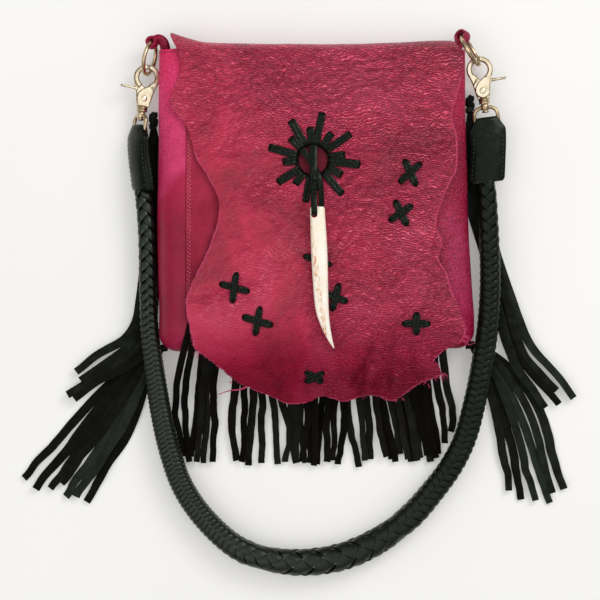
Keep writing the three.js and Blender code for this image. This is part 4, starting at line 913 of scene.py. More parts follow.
# Crosses: middle, then lower and upper strand as angle and length
CROSSES = [
    ((75.7, 14.6), -66, 24, 42, 24.5), ((68.3, -17), -64, 23, 34, 23), ((-61.4, -75.2), -15, 25, 82, 24.5),
    ((-43.4, -101.2), -16, 25.5, 80, 23.5), ((0.8, -145), -31, 17.4, 27, 17.7),
    ((17.2, -82.6), -21, 21, 75, 22.7), ((80.2, -103.2), -1, 22.8, 90, 18), ((3.4, -54), -18, 24, 72, 20),
]
PRICK = Vector((-62.6, -129.2))  # a small hole punched near the lower left edge


def direction(angle):
    return Vector((cos(radians(angle)), sin(radians(angle))))


def lace_ends():
    ends = [HOLE + direction(turn) * reach for turn, reach in RAYS]
    for middle, lower, lower_length, upper, upper_length in CROSSES:
        for angle, length in ((lower, lower_length), (upper, upper_length)):
            ends.append(Vector(middle) + direction(angle) * length / 2)
            ends.append(Vector(middle) - direction(angle) * length / 2)
    return ends


LACE_ENDS = lace_ends()


def flap_at(x, y):
    """Height of the middle of the flap, as in the solid."""
    out = max(0, x - SEAM_RIGHT if x > 0 else SEAM_LEFT - x)
    below = max(0, DROOP_START - y)
    droop = SIDE_DROOP(out) + BOTTOM_DROOP(below)
    hang = smoothstep(below, 22, 55)
    ruffle = RUFFLE_RISE * hang * (1 + sin(2 * pi * x / RUFFLE_LENGTH))
    return DEPTH(y) + crown_at(x, y) + FLAP_LIFT(y) + LEATHER / 2 - droop + ruffle


CREASE_BEND, CREASE_WAVES, CREASE_FADE = 1.5, 6, 0.25
SLIT_REACH, SLIT_DENT, SLIT_SPREAD = 60, 0.8, 5  # the reach is a square of a distance
PUCKER, PUCKER_RADIUS, PUCKER_SPREAD = 0.25, 4.5, 4
RIM_SINK, RIM_FADE = 0.7, 1.6


def hide_relief(x, y):
    """Folds, creases and dents of the hide over its plain form."""
    height = 0.5 * wave(x, y, 42, 1) + 0.25 * wave(x, y, 17, 2) + 0.1 * wave(x, y, 7, 3)
    spot = Vector((x, y))
    for a, b, half, rise in CREASES:
        a, b = Vector(a), Vector(b)
        along = (spot - a).dot(b - a) / (b - a).length_squared
        near = a.lerp(b, min(1, max(0, along)))
        bend = CREASE_BEND * sin(CREASE_WAVES * along)
        off = (spot - near).length + bend
        if abs(off) < 3 * half:
            starts = smoothstep(along, -CREASE_FADE, CREASE_FADE)
            stops = smoothstep(1 - along, -CREASE_FADE, CREASE_FADE)
            height += rise * exp(-((off / half) ** 2)) * starts * stops
    for end in LACE_ENDS:
        far = (spot - end).length_squared
        if far < SLIT_REACH:
            pucker = PUCKER * exp(-((sqrt(far) - PUCKER_RADIUS) ** 2) / PUCKER_SPREAD)
            height += -SLIT_DENT * exp(-far / SLIT_SPREAD) + pucker
    rim = (spot - HOLE).length - HOLE_RADIUS
    if -4 < rim < 8:
        height -= RIM_SINK * exp(-max(rim, 0) / RIM_FADE)
    return height


def flap_top(x, y):
    return flap_at(x, y) + hide_relief(x, y) + LEATHER / 2


def flap_normal(x, y):
    step = 1.5
    slope_x = (flap_at(x + step, y) - flap_at(x - step, y)) / (2 * step)
    slope_y = (flap_at(x, y + step) - flap_at(x, y - step)) / (2 * step)
    return Vector((-slope_x, -slope_y, 1)).normalized()


def ragged(at, seed, ease):
    """How far the cut edge strays: three waves, each shorter and weaker than the last."""
    coarse, middle = 0.8 * wave(at, 0, 9, seed), 0.5 * wave(at, 0, 3.1, seed + 1)
    return ease * (coarse + middle + 0.3 * wave(at, 0, 1.3, seed + 2))


def left_edge(y):
    return FLAP_LEFT(y) + ragged(y, 20, 0.7 + 0.6 * smoothstep(-y, 100, 120))


def right_edge(y):
    return FLAP_RIGHT(y) + ragged(y, 24, 0.6 + 1.1 * smoothstep(-y, 100, 122))


def bottom_edge(x):
    ease = 0.8 + 1.0 * smoothstep(x, 50, 75) + 0.5 * smoothstep(-x, 30, 60)
    return FLAP_BOTTOM(x) + ragged(x, 28, ease)


def flap_place(u, v):
    left_y, right_y = lerp(FLAP_TOP, CORNER_LEFT.y, v), lerp(FLAP_TOP, CORNER_RIGHT.y, v)
    left, right = Vector((left_edge(left_y), left_y)), Vector((right_edge(right_y), right_y))
    top = Vector((FLAP_LEFT(FLAP_TOP), FLAP_TOP)).lerp(Vector((FLAP_RIGHT(FLAP_TOP), FLAP_TOP)), u)
    bottom_x = lerp(CORNER_LEFT.x, CORNER_RIGHT.x, u)
    bottom = Vector((bottom_x, bottom_edge(bottom_x)))
    return left.lerp(right, u) + top.lerp(bottom, v) - top.lerp(CORNER_LEFT.lerp(CORNER_RIGHT, u), v)


FLAP_COLUMNS, FLAP_ROWS, FOLD_ROWS, TAIL_ROWS = 150, 170, 24, 6
TAIL_HALF = 104
RELIEF_ROWS = 10  # over which the relief of the hide sets in below the fold
RIM_START = 40  # the row below which the raw edge shows a rim


def make_flap():
    """The hide from its tail inside the back, over the fold and down the front, with hole and prick."""
    grid = []
    span = [j / FLAP_COLUMNS for j in range(FLAP_COLUMNS + 1)]
    for k in range(TAIL_ROWS):
        y = lerp(TAIL_END, FLAP_TOP, k / TAIL_ROWS)
        grid.append([Vector((lerp(-TAIL_HALF, TAIL_HALF, u), y, TAIL_Z)) for u in span])
    for k in range(FOLD_ROWS):
        turn = lerp(-90, 90, k / FOLD_ROWS)
        row = []
        for u in span:
            x = lerp(FOLD_LEFT(turn), FOLD_RIGHT(turn), u)
            front = flap_at(x, FLAP_TOP)
            out = FOLD_LINE(x) - LEATHER / 2 - FLAP_TOP
            sway = 0.5 * wave(x, turn / 3, 30, 14) * cos(radians(turn))
            y = FLAP_TOP + out * cos(radians(turn)) + sway - 0.5 * cos(radians(turn))
            z = (front + TAIL_Z) / 2 + (front - TAIL_Z) / 2 * sin(radians(turn))
            row.append(Vector((x, y, z)))
        grid.append(row)
    inside = set()
    for k in range(FLAP_ROWS + 1):
        v = 1 - (1 - k / FLAP_ROWS) ** FLAP_BUNCHING
        ease = smoothstep(k, 0, RELIEF_ROWS)
        row = []
        for j, u in enumerate(span):
            place = flap_place(u, v)
            off = place - HOLE
            if off.length < HOLE_RADIUS:
                inside.add((len(grid), j))
                place = HOLE + off.normalized() * HOLE_RADIUS if off.length > 0.01 else HOLE.copy()
            z = flap_at(place.x, place.y) + ease * hide_relief(place.x, place.y)
            row.append(Vector((place.x, place.y, z)))
        grid.append(row)
    corners = ((0, 0), (1, 0), (0, 1), (1, 1))
    front = [(i, j) for i in range(TAIL_ROWS + FOLD_ROWS, len(grid) - 1) for j in range(FLAP_COLUMNS)]
    prick = min(front, key=lambda at: (grid[at[0]][at[1]].xy - PRICK).length)
    form = Form()
    form.sheet(
        grid, LEATHER, slots=(0, 1, 1),
        skip=lambda i, j: (i, j) == prick or all((i + a, j + b) in inside for a, b in corners),
        rim=lambda i, j: (
            (i > RIM_START and j in (0, FLAP_COLUMNS - 1) or i == len(grid) - 2)
            and noise_at(i * 0.05, j * 0.05, 3.7) > -0.2
        ),
    )
    flap = make("flap_hide", form, [HIDE, FLESH], replaces=["flap"])


# Torn tufts on the edge: place, heading, length, width and number
TUFTS = [
    (103, -142, -52, 6, 1.0, 4), (97, -144, -80, 5, 0.9, 3), (87, -150, -100, 4, 0.9, 3),
    (113, -115, -12, 8, 1.4, 3), (118, -114, -22, 11, 1.6, 4), (104, -121, -70, 3.5, 1.0, 3),
    (42, -159, -100, 4, 0.9, 3), (66, -162, -80, 3.5, 0.9, 2), (-88, -126, 215, 4, 1.0, 3),
    (-62, -147, 235, 3.5, 1.0, 2),
]


FIBRE_THICK, FIBRE_INSET = 0.45, 0.8

# Loose fibres along the bottom: from, to, number and longest
FRAYED_BOTTOM = [(-92, -78, 60, 2.6), (-76, -40, 110, 2.4), (-40, 40, 60, 1.8), (44, 101, 180, 2.6)]

# And at the sides: edge, inset, from, to, number, headings, longest and droop
FRAYED_SIDES = [
    (right_edge, -FIBRE_INSET, -141, -100, 90, (-80, 50), 2.6, 1.2),
    (left_edge, FIBRE_INSET, -122, -108, 40, (150, 260), 2.4, 1),
]
THREAD_X = -50
THREAD_WAY = [(-7, -3.2, -1), (-16, -4.4, -3), (-25, -7.6, -5)]


def make_frayed_edge():
    """Loose fibres of the cut edge, thickest where the hide was torn, and one long thread."""
    form = Form()

    def fibre(start, heading, length, droop, width):
        path = []
        for k in range(6):
            t = k / 5
            bend = direction(heading + 40 * t * chance.uniform(-1, 1)) * length * t
            path.append(Vector((start.x + bend.x, start.y + bend.y, start.z - droop * t * t)))
        form.ribbon(path, lambda at: width * (1 - 0.7 * at), FIBRE_THICK, sides=4, square=1.0)

    def loose_fibre(start, heading, longest, droop):
        length = chance.uniform(1.0, longest)
        fibre(start, heading, length, chance.uniform(0, droop), chance.uniform(0.5, 1.1))

    for low, high, count, longest in FRAYED_BOTTOM:
        for _ in range(count):
            x = chance.uniform(low, high)
            y = bottom_edge(x) + FIBRE_INSET
            start = Vector((x, y, flap_at(x, y) + chance.uniform(-0.7, 0.7)))
            slope = (bottom_edge(x + 1) - bottom_edge(x - 1)) / 2
            out = degrees(atan2(-1, slope)) + chance.uniform(-50, 50)
            loose_fibre(start, out, longest, 1.2)
    for edge, inset, low, high, count, headings, longest, droop in FRAYED_SIDES:
        for _ in range(count):
            y = chance.uniform(low, high)
            x = edge(y) + inset
            loose_fibre(Vector((x, y, flap_at(x, y))), chance.uniform(*headings), longest, droop)
    for x, y, heading, length, width, count in TUFTS:
        for _ in range(count):
            start = Vector((x + chance.uniform(-4, 4), y + chance.uniform(-2, 2), flap_at(x, y)))
            turned = heading + chance.uniform(-28, 28)
            fibre(start, turned, length * chance.uniform(0.6, 1), chance.uniform(0, 1.5), width)
    start = Vector((THREAD_X, bottom_edge(THREAD_X) + 1, flap_at(THREAD_X, -151)))
    thread = Curve([start, *[start + Vector(step) for step in THREAD_WAY]])
    form.ribbon(thread.points(16), lambda at: 1.5 - 0.9 * at, 0.7, sides=6)
    make("flap_frayed_fibres", form, [FLESH])


# Lace
RAY_WIDTH, CROSS_WIDTH, LACE_THICK = 5.7, 5.1, 1.7
RAY_START, DIP, SLIT_DEPTH, CROSS_RISE = 0.5, 2.4, 0.9, 1.5
RAY_TIP, CROSS_TIP = (-1.6, 0.8), (-2.4, 3.6)  # between these distances from its end a strand widens
OVER_RIM = ((2.8, 4.8), (2.6, 2.8), (2.0, 0.8), (0.9, -0.6))  # way into the hole, and down
RIDGE_OVERLAP = 1.22


def lace_on_flap(form, start, end, wide, rise=0.0, over_rim=False):
    """A creased strand that dips into a slit at each end, or comes up over the rim of the hole."""
    steps = 18
    length = (end - start).length
    wide *= chance.uniform(0.92, 1.06)
    seed = chance.uniform(0, 50)
    path, facing = [], []
    if over_rim:
        for inset, drop in OVER_RIM:
            back = start - (end - start).normalized() * inset
            path.append(Vector((back.x, back.y, flap_top(start.x, start.y) - drop)))
            facing.append(Vector((*(-(end - start).normalized()), 0.6)).normalized())
    for k in range(steps + 1):
        t = k / steps
        place = start.lerp(end, t)
        normal = flap_normal(place.x, place.y)
        near_start = 1 if over_rim else smoothstep(t * length, 0, DIP)
        near_end = smoothstep((1 - t) * length, 0, DIP)
        clear = lerp(-SLIT_DEPTH, LACE_THICK / 2 + 0.1, min(near_start, near_end))
        hump = rise * sin(pi * t) ** 0.8
        path.append(Vector((place.x, place.y, flap_top(place.x, place.y))) + normal * (clear + hump))
        facing.append(normal)
    last = len(path) - 1

    def width(at):
        if over_rim:
            tips = smoothstep((1 - at) * length, *RAY_TIP)
        else:
            tips = smoothstep((1 - at) * length, *CROSS_TIP) * smoothstep(at * length, *CROSS_TIP)
        return wide * tips * (1 + 0.07 * noise_at(at * 5, seed, 0))

    ahead = (end - start).normalized()
    aside = Vector((ahead.y, -ahead.x, 0))
    crease = 0.12 * noise_at(seed, 2.5, 0)
    for side, share in ((-1, 0.5 + crease), (1, 0.5 - crease)):
        ridge = [p + aside * side * (1 - share) * 0.5 * width(k / last) for k, p in enumerate(path)]
        form.ribbon(
            ridge, lambda at: RIDGE_OVERLAP * share * width(at), LACE_THICK, facing,
            lambda at: 0.2 * noise_at(at * 3, seed, 9 * side), sides=10, square=0.8,
        )


def make_lacing():
    form = Form()
    for turn, reach in RAYS:
        ahead = direction(turn)
        start = HOLE + ahead * (HOLE_RADIUS + RAY_START)
        lace_on_flap(form, start, HOLE + ahead * reach, RAY_WIDTH, over_rim=True)
    make("hole_lacing_strands", form, [LACE], replaces=["hole_lacing"])
    for number, (middle, lower, lower_length, upper, upper_length) in enumerate(CROSSES, 1):
        form = Form()
        for angle, length, rise in ((lower, lower_length, 0), (upper, upper_length, CROSS_RISE)):
            half = direction(angle) * length / 2
            lace_on_flap(form, Vector(middle) - half, Vector(middle) + half, CROSS_WIDTH, rise)
        name = f"cross_stitch_lace_{number}"
        make(name, form, [LACE], replaces=[f"cross_stitch_{number}"])


# Bone point on its two strands: y, left edge, right edge, thickness and height
BONE_ROWS = [
    (-122.1, 15.4, 16.4, 1.2, 49.8), (-114.4, 10.4, 14.6, 3.2, 51.8), (-104.6, 5.6, 13, 5, 54),
    (-92.6, 1.7, 11.9, 6.4, 55.6), (-70.5, -0.5, 11.4, 7.6, 57), (-46.7, -1.8, 10.8, 8, 57.2),
    (-18.7, -2.6, 9.1, 7.4, 56), (-12.5, -2.6, 8.7, 6.6, 55.6),
]
BONE_LEFT, BONE_RIGHT, BONE_THICK, BONE_Z = tables(BONE_ROWS)
BONE_TIP, BONE_TOP = BONE_ROWS[0][0], BONE_ROWS[-1][0]
BONE_STEPS, BONE_SIDES, BONE_SQUARE = 90, 28, 0.78
BONE_HOLE = Vector((0.6, -18.6))
BORE_RADIUS, BORE_LOW, BORE_HIGH = 2.5, 45, 68


def make_bone():
    form = Form()
    rings = []
    for k in range(BONE_STEPS + 1):
        y = lerp(BONE_TIP, BONE_TOP, k / BONE_STEPS)
        end = 1 - 0.10 * smoothstep(y, -13.4, BONE_TOP)
        left, right, thick, z = BONE_LEFT(y), BONE_RIGHT(y), BONE_THICK(y) * end, BONE_Z(y)
        middle, half = (left + right) / 2, (right - left) / 2 * end
        ring = []
        for turn in circle(BONE_SIDES):
            s = sin(turn)
            x = middle + half * squared(cos(turn), BONE_SQUARE)
            dent = 0.5 * exp(-(((x - middle + half * 0.3) / (half * 0.35)) ** 2)) if s > 0 else 0
            chip = 0.12 * noise_at(x / 3, y / 6, 4)
            deep = thick / 2 - dent * smoothstep(-y, 20, 50)
            ring.append(Vector((x, y, z + deep * squared(s, BONE_SQUARE) + chip)))
        rings.append(ring)
    form.rings(rings)
    bone = make("bone_point", form, [BONE], replaces=["bone_toggle"], sharp=50)
    rim = []
    for turn in circle(24):
        x, y = BONE_HOLE.x + BORE_RADIUS * cos(turn), BONE_HOLE.y + BORE_RADIUS * sin(turn)
        rim.append((x, y))
    drill = Form()
    drill.rings([[Vector((x, y, z)) for x, y in rim] for z in (BORE_LOW, BORE_HIGH)])
    mesh = bpy.data.meshes.new("bone_drill")
    mesh.from_pydata([p * MM for p in drill.points], [], drill.faces)
    tool = add_object("bone_drill", mesh)
    bore = bone.modifiers.new("bore", "BOOLEAN")
    bore.operation = "DIFFERENCE"
    bore.solver = "EXACT"
    bore.object = tool
    drilled = bone.evaluated_get(bpy.context.evaluated_depsgraph_get())
    with_hole = bpy.data.meshes.new_from_object(drilled)
    bone.modifiers.clear()
    bone.data = with_hole
    bpy.data.objects.remove(tool)


def make_toggle_lace():
    """Two strands out of the hole: one through the bone from above, one under it."""
    def above(x, y, clear):
        return Vector((x, y, flap_at(x, y) + LEATHER / 2 + clear))

    bed = GAP + 0.7
    rim = bed + 1.4 + GAP
    bone_z = BONE_Z(BONE_HOLE.y)
    front = Curve([
        above(0, 36, -1.2), above(0, 33, -0.4), above(0, 28, 0.4), above(0, 17, rim), above(0, 9, rim + 0.6),
        Vector((0.2, -2, bone_z + 1.6)), Vector((0.4, -11, bone_z + 5.2)), Vector((0.6, -16.4, bone_z + 5)),
        Vector((0.6, -18.5, bone_z + 2)), Vector((0.6, -18.7, bone_z - 1)),
    ])
    back = Curve([
        above(-9, 33, -1.6), above(-6.6, 30, -1.2), above(-0.6, 21, -0.2), above(4.0, 12, rim + 0.4),
        above(5.6, 4, rim + 0.4), above(6.4, -12, bed + 0.7), above(6.6, -20, bed + 0.1),
    ])
    form = Form()
    steps = 60
    facing = [front.ahead(k / steps).cross(Vector((1, 0, 0))).normalized() * -1 for k in range(steps + 1)]
    form.ribbon(
        front.points(steps), lambda at: lerp(6.0, 4.6, at) + 0.2 * sin(9 * at), LACE_THICK, facing,
        sides=10, square=0.72,
    )
    form.ribbon(
        back.points(44), lambda at: 4.7 + 0.3 * sin(7 * at), 1.5, UP, lambda at: 0.5 * at,
        sides=10, square=0.72,
    )
    make("toggle_lace_strands", form, [LACE], replaces=["toggle_lace"])


# Suede fringe and tassels
SUEDE_WIDTH, SUEDE_THICK, FRINGE_LAYER = 5.6, 1.5, 1.9
STRIP_SHAPE = dict(sides=8, square=0.45)
FRINGE_STEPS, TASSEL_STEPS = 48, 56
HEADER_TOP, HEADER_BOTTOM, HEADER_LEFT, HEADER_RIGHT = -70, -77, -93.5, 97
HEADER_THICK = 1.8
FRINGE_MID_Y, FRINGE_LOW_Y = -150, -180
FRINGE_FALL = Table(
    (0, 43.6), (10, 42.6), (20, 38.6), (28, 30.5), (38, 19), (50, 9.5), (64, 3.6), (80, 1.5), (120, 1.1),
)

# Strips of the bottom fringe: place half way, low down and at the tip, and where it ends
FRINGE_STRIPS = [
    (-108, -109, -102, -209), (-101, -102, -99, -214), (-90, -93, -98, -210), (-87, -90, -93, -214),
    (-84, -85, -87, -215), (-79, -79, -80, -214), (-61, -65, -61, -213), (-55, -55, -56, -214),
    (-47, -49, -52, -217), (-41, -41, -41, -215), (-34, -30, -28, -216), (-28, -21, -13, -215),
    (-17, -18, -22, -214), (-15, -14, -13, -213), (-12, -10, -6, -215), (-6, -4, -9, -214),
    (-3, -1, -3, -215), (1, 2, 1, -217), (8, 6, 3, -216), (13, 11, 11, -214), (18, 17, 16, -213),
    (21, 25, 20, -216), (26, 29, 37, -218), (34, 39, 41, -213), (40, 44, 46, -212), (48, 52, 58, -210),
    (51, 56, 63, -212), (53, 59, 66, -214), (59, 66, 70, -208), (63, 70, 76, -212), (67, 74, 79, -214),
    (71, 78, 83, -213), (74, 81, 86, -211), (78, 85, 91, -209), (82, 88, 94, -214), (86, 92, 98, -211),
    (90, 96, 100, -208), (98, 104, 105, -199), (106, 112, 110, -190),
]


def strip_twist(curl, seed, pace, curl_from, twist_from):
    """How a loose strip turns about its length: a curl at the tip, and twists on the way."""
    def twist(at):
        loose = 0.7 * noise_at(at * pace, seed, 7)
        return curl * smoothstep(at, curl_from, 1) + loose * smoothstep(at, twist_from, 0.6)

    return twist


def fringe_at(x, y):
    if y > SEAM_BOTTOM + 4:
        return DEPTH(y) + crown_at(x, y) + GAP + SUEDE_THICK / 2 + 0.2
    return FRINGE_FALL(SEAM_BOTTOM + 4 - y)


def make_front_fringe():
    form = Form()
    last = len(FRINGE_STRIPS) - 1
    inset = SUEDE_WIDTH / 2 + 0.2
    for i, (mid, low, tip, end) in enumerate(FRINGE_STRIPS):
        root = lerp(HEADER_LEFT + inset, HEADER_RIGHT - inset, i / last)
        way = Table(
            (end, tip), (FRINGE_LOW_Y, low), (FRINGE_MID_Y, mid), (SEAM_BOTTOM, lerp(root, mid, 0.3)),
            (HEADER_BOTTOM, root),
        )
        seed = chance.uniform(0, 90)
        curl = chance.uniform(-0.5, 0.5)
        wide = SUEDE_WIDTH * chance.uniform(0.98, 1.24)
        twist = strip_twist(curl, seed, 4, 0.45, 0.35)
        path = []
        for k in range(FRINGE_STEPS + 1):
            y = lerp(HEADER_BOTTOM + 3, end, k / FRINGE_STEPS)
            loose = smoothstep(-y, 120, 175)
            x = way(y) + loose * (1.3 * noise_at(y / 16, seed, 0) + 0.5 * noise_at(y / 6, seed, 4))
            lay = (i % 2) * FRINGE_LAYER * smoothstep(-y, 76, 103)
            roll = abs(curl) * 1.6 * loose * smoothstep(k, 20, FRINGE_STEPS)
            on_edge = wide / 2 * abs(sin(twist(k / FRINGE_STEPS)))
            ripple = loose * (0.4 + 0.5 * noise_at(y / 13, seed, 5)) + on_edge
            path.append(Vector((x, y, fringe_at(x, y) + lay + roll + ripple)))
        form.ribbon(
            path, lambda at: wide * (1 - 0.14 * smoothstep(at, 0.55, 1) + 0.1 * noise_at(at * 7, seed, 2)),
            SUEDE_THICK, UP, twist, **STRIP_SHAPE,
        )
    header = []
    for y in (HEADER_TOP, (HEADER_TOP + HEADER_BOTTOM) / 2, HEADER_BOTTOM):
        row = []
        for j in range(41):
            x = lerp(HEADER_LEFT, HEADER_RIGHT, j / 40)
            row.append(Vector((x, y, fringe_at(x, y) + 0.1)))
        header.append(row)
    form.sheet(header, HEADER_THICK)
    make("front_fringe_strips", form, [BROWN_SUEDE], replaces=["front_fringe"])


# Tassels: place and radii of the knot, way down (x, y, z, spread), turn of the spread, lay, taper,
# and where each strip bends and ends
TASSELS = {
    "left_side_tassel": (
        (-127, 58, 10), (3.6, 9, 5), [(-127, 42, 4.4, 5), (-128.5, 8, 3, 9), (-131, -70, 3, 10)],
        0, 3.4, 0.2,
        [
            (-145, -110, -189, -142), (-141, -115, -185, -149), (-139, -121, -196, -160),
            (-135, -125, -190, -164),
        ],
    ),
    "right_side_tassel": (
        (125, 71, 6.6), (3.6, 9.5, 4.6), [(126, 54, 4, 5), (127.5, 4, 3, 9), (143, -52, 3, 10)],
        180, 3, 0.2,
        [(173, -119, 208, -163), (168, -124, 194, -157), (165, -130, 196, -168), (160, -133, 186, -170)],
    ),
    "left_corner_tassel": (
        (-119.4, -123.1, 7.5), (3.6, 3.6, 3.8), [(-124.5, -128, 3.4, 5), (-134, -136, 2.2, 14)],
        -45, 0, 0.42,
        [
            (-171, -160, -231, -227), (-167, -166, -221, -236), (-163, -172, -210, -235),
            (-160, -177, -201, -231), (-157, -183, -197, -242), (-152, -185, -189, -242),
            (-147, -189, -181, -246),
        ],
    ),
    "right_corner_tassel": (
        (125, -120.6, 7.5), (3.6, 3.6, 3.8), [(130, -125, 3.4, 5), (140, -133, 2.2, 14)],
        -135, 0, 0.42,
        [
            (177, -165, 200, -236), (171, -171, 191, -239), (166, -178, 189, -247), (160, -181, 177, -245),
            (154, -184, 167, -244), (147, -181, 156, -237),
        ],
    ),
}
TASSEL_ROOT, TASSEL_WIDTH, TASSEL_CLEAR = 2.6, 6.4, 0.45


def knot(form, centre, radii):
    """A knot of suede: a crumpled core with turns of the thong wrapped round it."""
    middle = Vector(centre)
    rings = []
    for i in range(1, 10):
        polar = pi * i / 10
        ring = []
        for turn in circle(16):
            wide = sin(polar)
            out = Vector((wide * cos(turn), cos(polar), wide * sin(turn)))
            crumple = 0.8 + 0.12 * noise.noise(out * 2.4 + middle)
            ring.append(middle + Vector([o * r * crumple for o, r in zip(out, radii)]))
        rings.append(ring)
    form.rings(rings)
    for lean, shift in ((0.5, -0.45), (-0.45, 0.0), (0.4, 0.45)):
        path, facing = [], []
        squeeze = sqrt(max(0.1, 1 - shift * shift))
        for turn in circle(24):
            high = shift + 0.25 * lean * cos(turn)
            out = Vector((cos(turn) * squeeze, high, sin(turn) * squeeze))
            path.append(middle + Vector([o * r * 0.92 for o, r in zip(out, radii)]))
            facing.append(Vector((out.x, 0, out.z)).normalized())
        form.ribbon(path, min(4.2, radii[1] * 0.8), 1.1, facing, sides=8, square=0.6, loop=True)


def make_tassels():
    for name, (centre, radii, way, turn, lay, taper, strips) in TASSELS.items():
        form = Form()
        knot(form, centre, radii)
        spread_way = direction(turn)
        for i, (bend_x, bend_y, tip_x, tip_y) in enumerate(strips):
            over = (i % 2) * FRINGE_LAYER
            lowest = TASSEL_CLEAR + SUEDE_THICK / 2 + lay + over
            seed = chance.uniform(0, 90)
            curl = chance.uniform(-0.45, 0.45)
            route = [Vector(centre)]
            for x, y, z, spread in way:
                aside = spread_way * spread * (i / (len(strips) - 1) - 0.5)
                route.append(Vector((x + aside.x, y + aside.y, z + over)))
            route.append(Vector((bend_x, bend_y, lowest + 0.4)))
            route.append(Vector(((bend_x + 2 * tip_x) / 3, (bend_y + 2 * tip_y) / 3, lowest + 0.2)))
            route.append(Vector((tip_x, tip_y, lowest)))
            curve = Curve(route)
            wide = TASSEL_WIDTH * chance.uniform(1.05, 1.3)
            twist = strip_twist(curl, seed, 5, 0.5, 0.3)
            path = []
            for k in range(TASSEL_STEPS + 1):
                share = k / TASSEL_STEPS
                spot = curve.at(share)
                loose = smoothstep(share, 0.45, 0.85)
                aside = curve.ahead(share).cross(UP).normalized()
                sway = 2.2 * noise_at(share * 5, seed, 0) + 0.8 * noise_at(share * 13, seed, 1)
                spot += aside * loose * sway
                on_edge = wide / 2 * abs(sin(twist(share)))
                spot.z += loose * (0.3 + 0.3 * noise_at(share * 8, seed, 3) + on_edge)
                path.append(spot)

            def width(at):
                return lerp(TASSEL_ROOT, wide, smoothstep(at, 0, taper)) * (1 - 0.2 * smoothstep(at, 0.7, 1))

            form.ribbon(path, width, SUEDE_THICK, UP, twist, **STRIP_SHAPE)
        make(f"{name}_strips", form, [SUEDE], replaces=[name])


# Trigger snaps, rings, tabs and sleeves, each side in its own frame
JAW_INNER, JAW_OUTER, JAW_HALF = 6.4, 10.4, 2.2
RIVET_Y = -17
SIDES = {
    "left": dict(
        place=(-132.1, 91.9, 11.2), tilt=-8.5, pitch=-2.5, flip=192, roll=-58, lean=9, rise=15, seat=2.9,
        bend=13.5, loop=3.7, twist=(-28, -80),
        way=[(-122.4, 122, 17.4), (-118.8, 119.6, 17), (-117.2, 114, 14.6), (-117, 104, 12)],
    ),
    "right": dict(
        place=(132.1, 98, 14.5), tilt=8, pitch=0, flip=0, roll=0, lean=-31.2, rise=0, seat=4, bend=-8.9,
        loop=4.8, twist=(38, 60), way=[(114.8, 116.5, 14), (112.4, 111, 13), (112, 104, 12.5)],
    ),
}


def turn_about(axis, angle):
    return Matrix.Rotation(radians(angle), 4, axis)


def arc(radius, start, stop, steps, y=0):
    turns = [radians(lerp(start, stop, k / steps)) for k in range(steps + 1)]
    return [(radius * cos(t), y + radius * sin(t)) for t in turns]


def crescent(start, stop):
    """The outline of one half of the jaw."""
    return arc(JAW_OUTER, start, stop, 26) + arc(JAW_INNER, stop, start, 26)


def rounded(corners):
    """A closed outline with its corners rounded."""
    outline = []
    steps = 6
    count = len(corners)
    for k in range(count):
        a, b, c = Vector(corners[k - 1]), Vector(corners[k]), Vector(corners[(k + 1) % count])
        into, out = b.lerp(a, 0.3), b.lerp(c, 0.3)
        for i in range(steps + 1):
            t = i / steps
            outline.append(tuple(into * (1 - t) ** 2 + b * 2 * t * (1 - t) + out * t**2))
    return outline


# Outlines of the plates, and turned forms as y and radius
SHOULDER = [(-9.6, -3.6), (-7.6, -9.5), (-6.6, -13), (-5.0, -10.4), (-2.0, -6.2), (-5.6, -2.6)]
BODY_PLATE = [
    (-8.6, -6), (-7.4, -10), (-6.6, -13.5), (-6.0, -17), (-5.2, -21), (-4.4, -23.6), (4.4, -23.6),
    (5.2, -21), (6.0, -17), (5.4, -13), (2.4, -9.5), (-2.2, -6.6),
]
LEVER = [
    (5.6, -7.6), (8.6, -8.4), (18.2, -8.4), (18.9, -8.1), (19.7, -8.5), (19.8, -9.5), (19.1, -10.2),
    (18.2, -10.1), (8.4, -10.6), (6, -11.6),
]
COLLAR = [
    (-22.6, 3.1), (-23.4, 4.0), (-24.4, 4.3), (-24.9, 4.5), (-25.5, 4.1), (-25.9, 3.9), (-26.4, 4.4),
    (-27.2, 4.4), (-27.6, 3.8), (-27.62, 1.7),
]
PIN = [(-27.4, 1.7), (-33.0, 1.7)]
PIN_HEAD = [(-32.8, 1.8), (-33.1, 2.6), (-33.9, 2.8), (-34.5, 2.4), (-34.8, 1.2)]
EYE_COLLAR = [
    (-28, 2.2), (-28, 2.9), (-28.5, 3.3), (-29.6, 3.4), (-31, 3.4), (-32, 3.2), (-32.4, 2.8), (-32.4, 2.2),
]
JAW_EASE, JAW_BEVEL, SHOULDER_BEVEL, PLATE_BEVEL, LEVER_BEVEL = 0.12, 0.9, 0.8, 0.75, 0.6
PLATE_GAP = 0.15  # from the middle to the plate of the body below, and to that of the gate above
RIVET_RADIUS, RIVET_HEIGHT, SHANK_RADIUS = 2.6, 1.1, 2.1


def rivet_head(form, face):
    rings = []
    for k in range(7):
        polar = pi / 2 * k / 7
        r, z = RIVET_RADIUS * cos(polar), face * (JAW_HALF + RIVET_HEIGHT * sin(polar))
        rings.append([Vector((r * cos(t), RIVET_Y + r * sin(t), z)) for t in circle(24)])
    form.rings(rings)


def jaw(form, start, stop):
    form.plate(crescent(start, stop), JAW_EASE - JAW_HALF, JAW_HALF - JAW_EASE, JAW_BEVEL, strip=True)


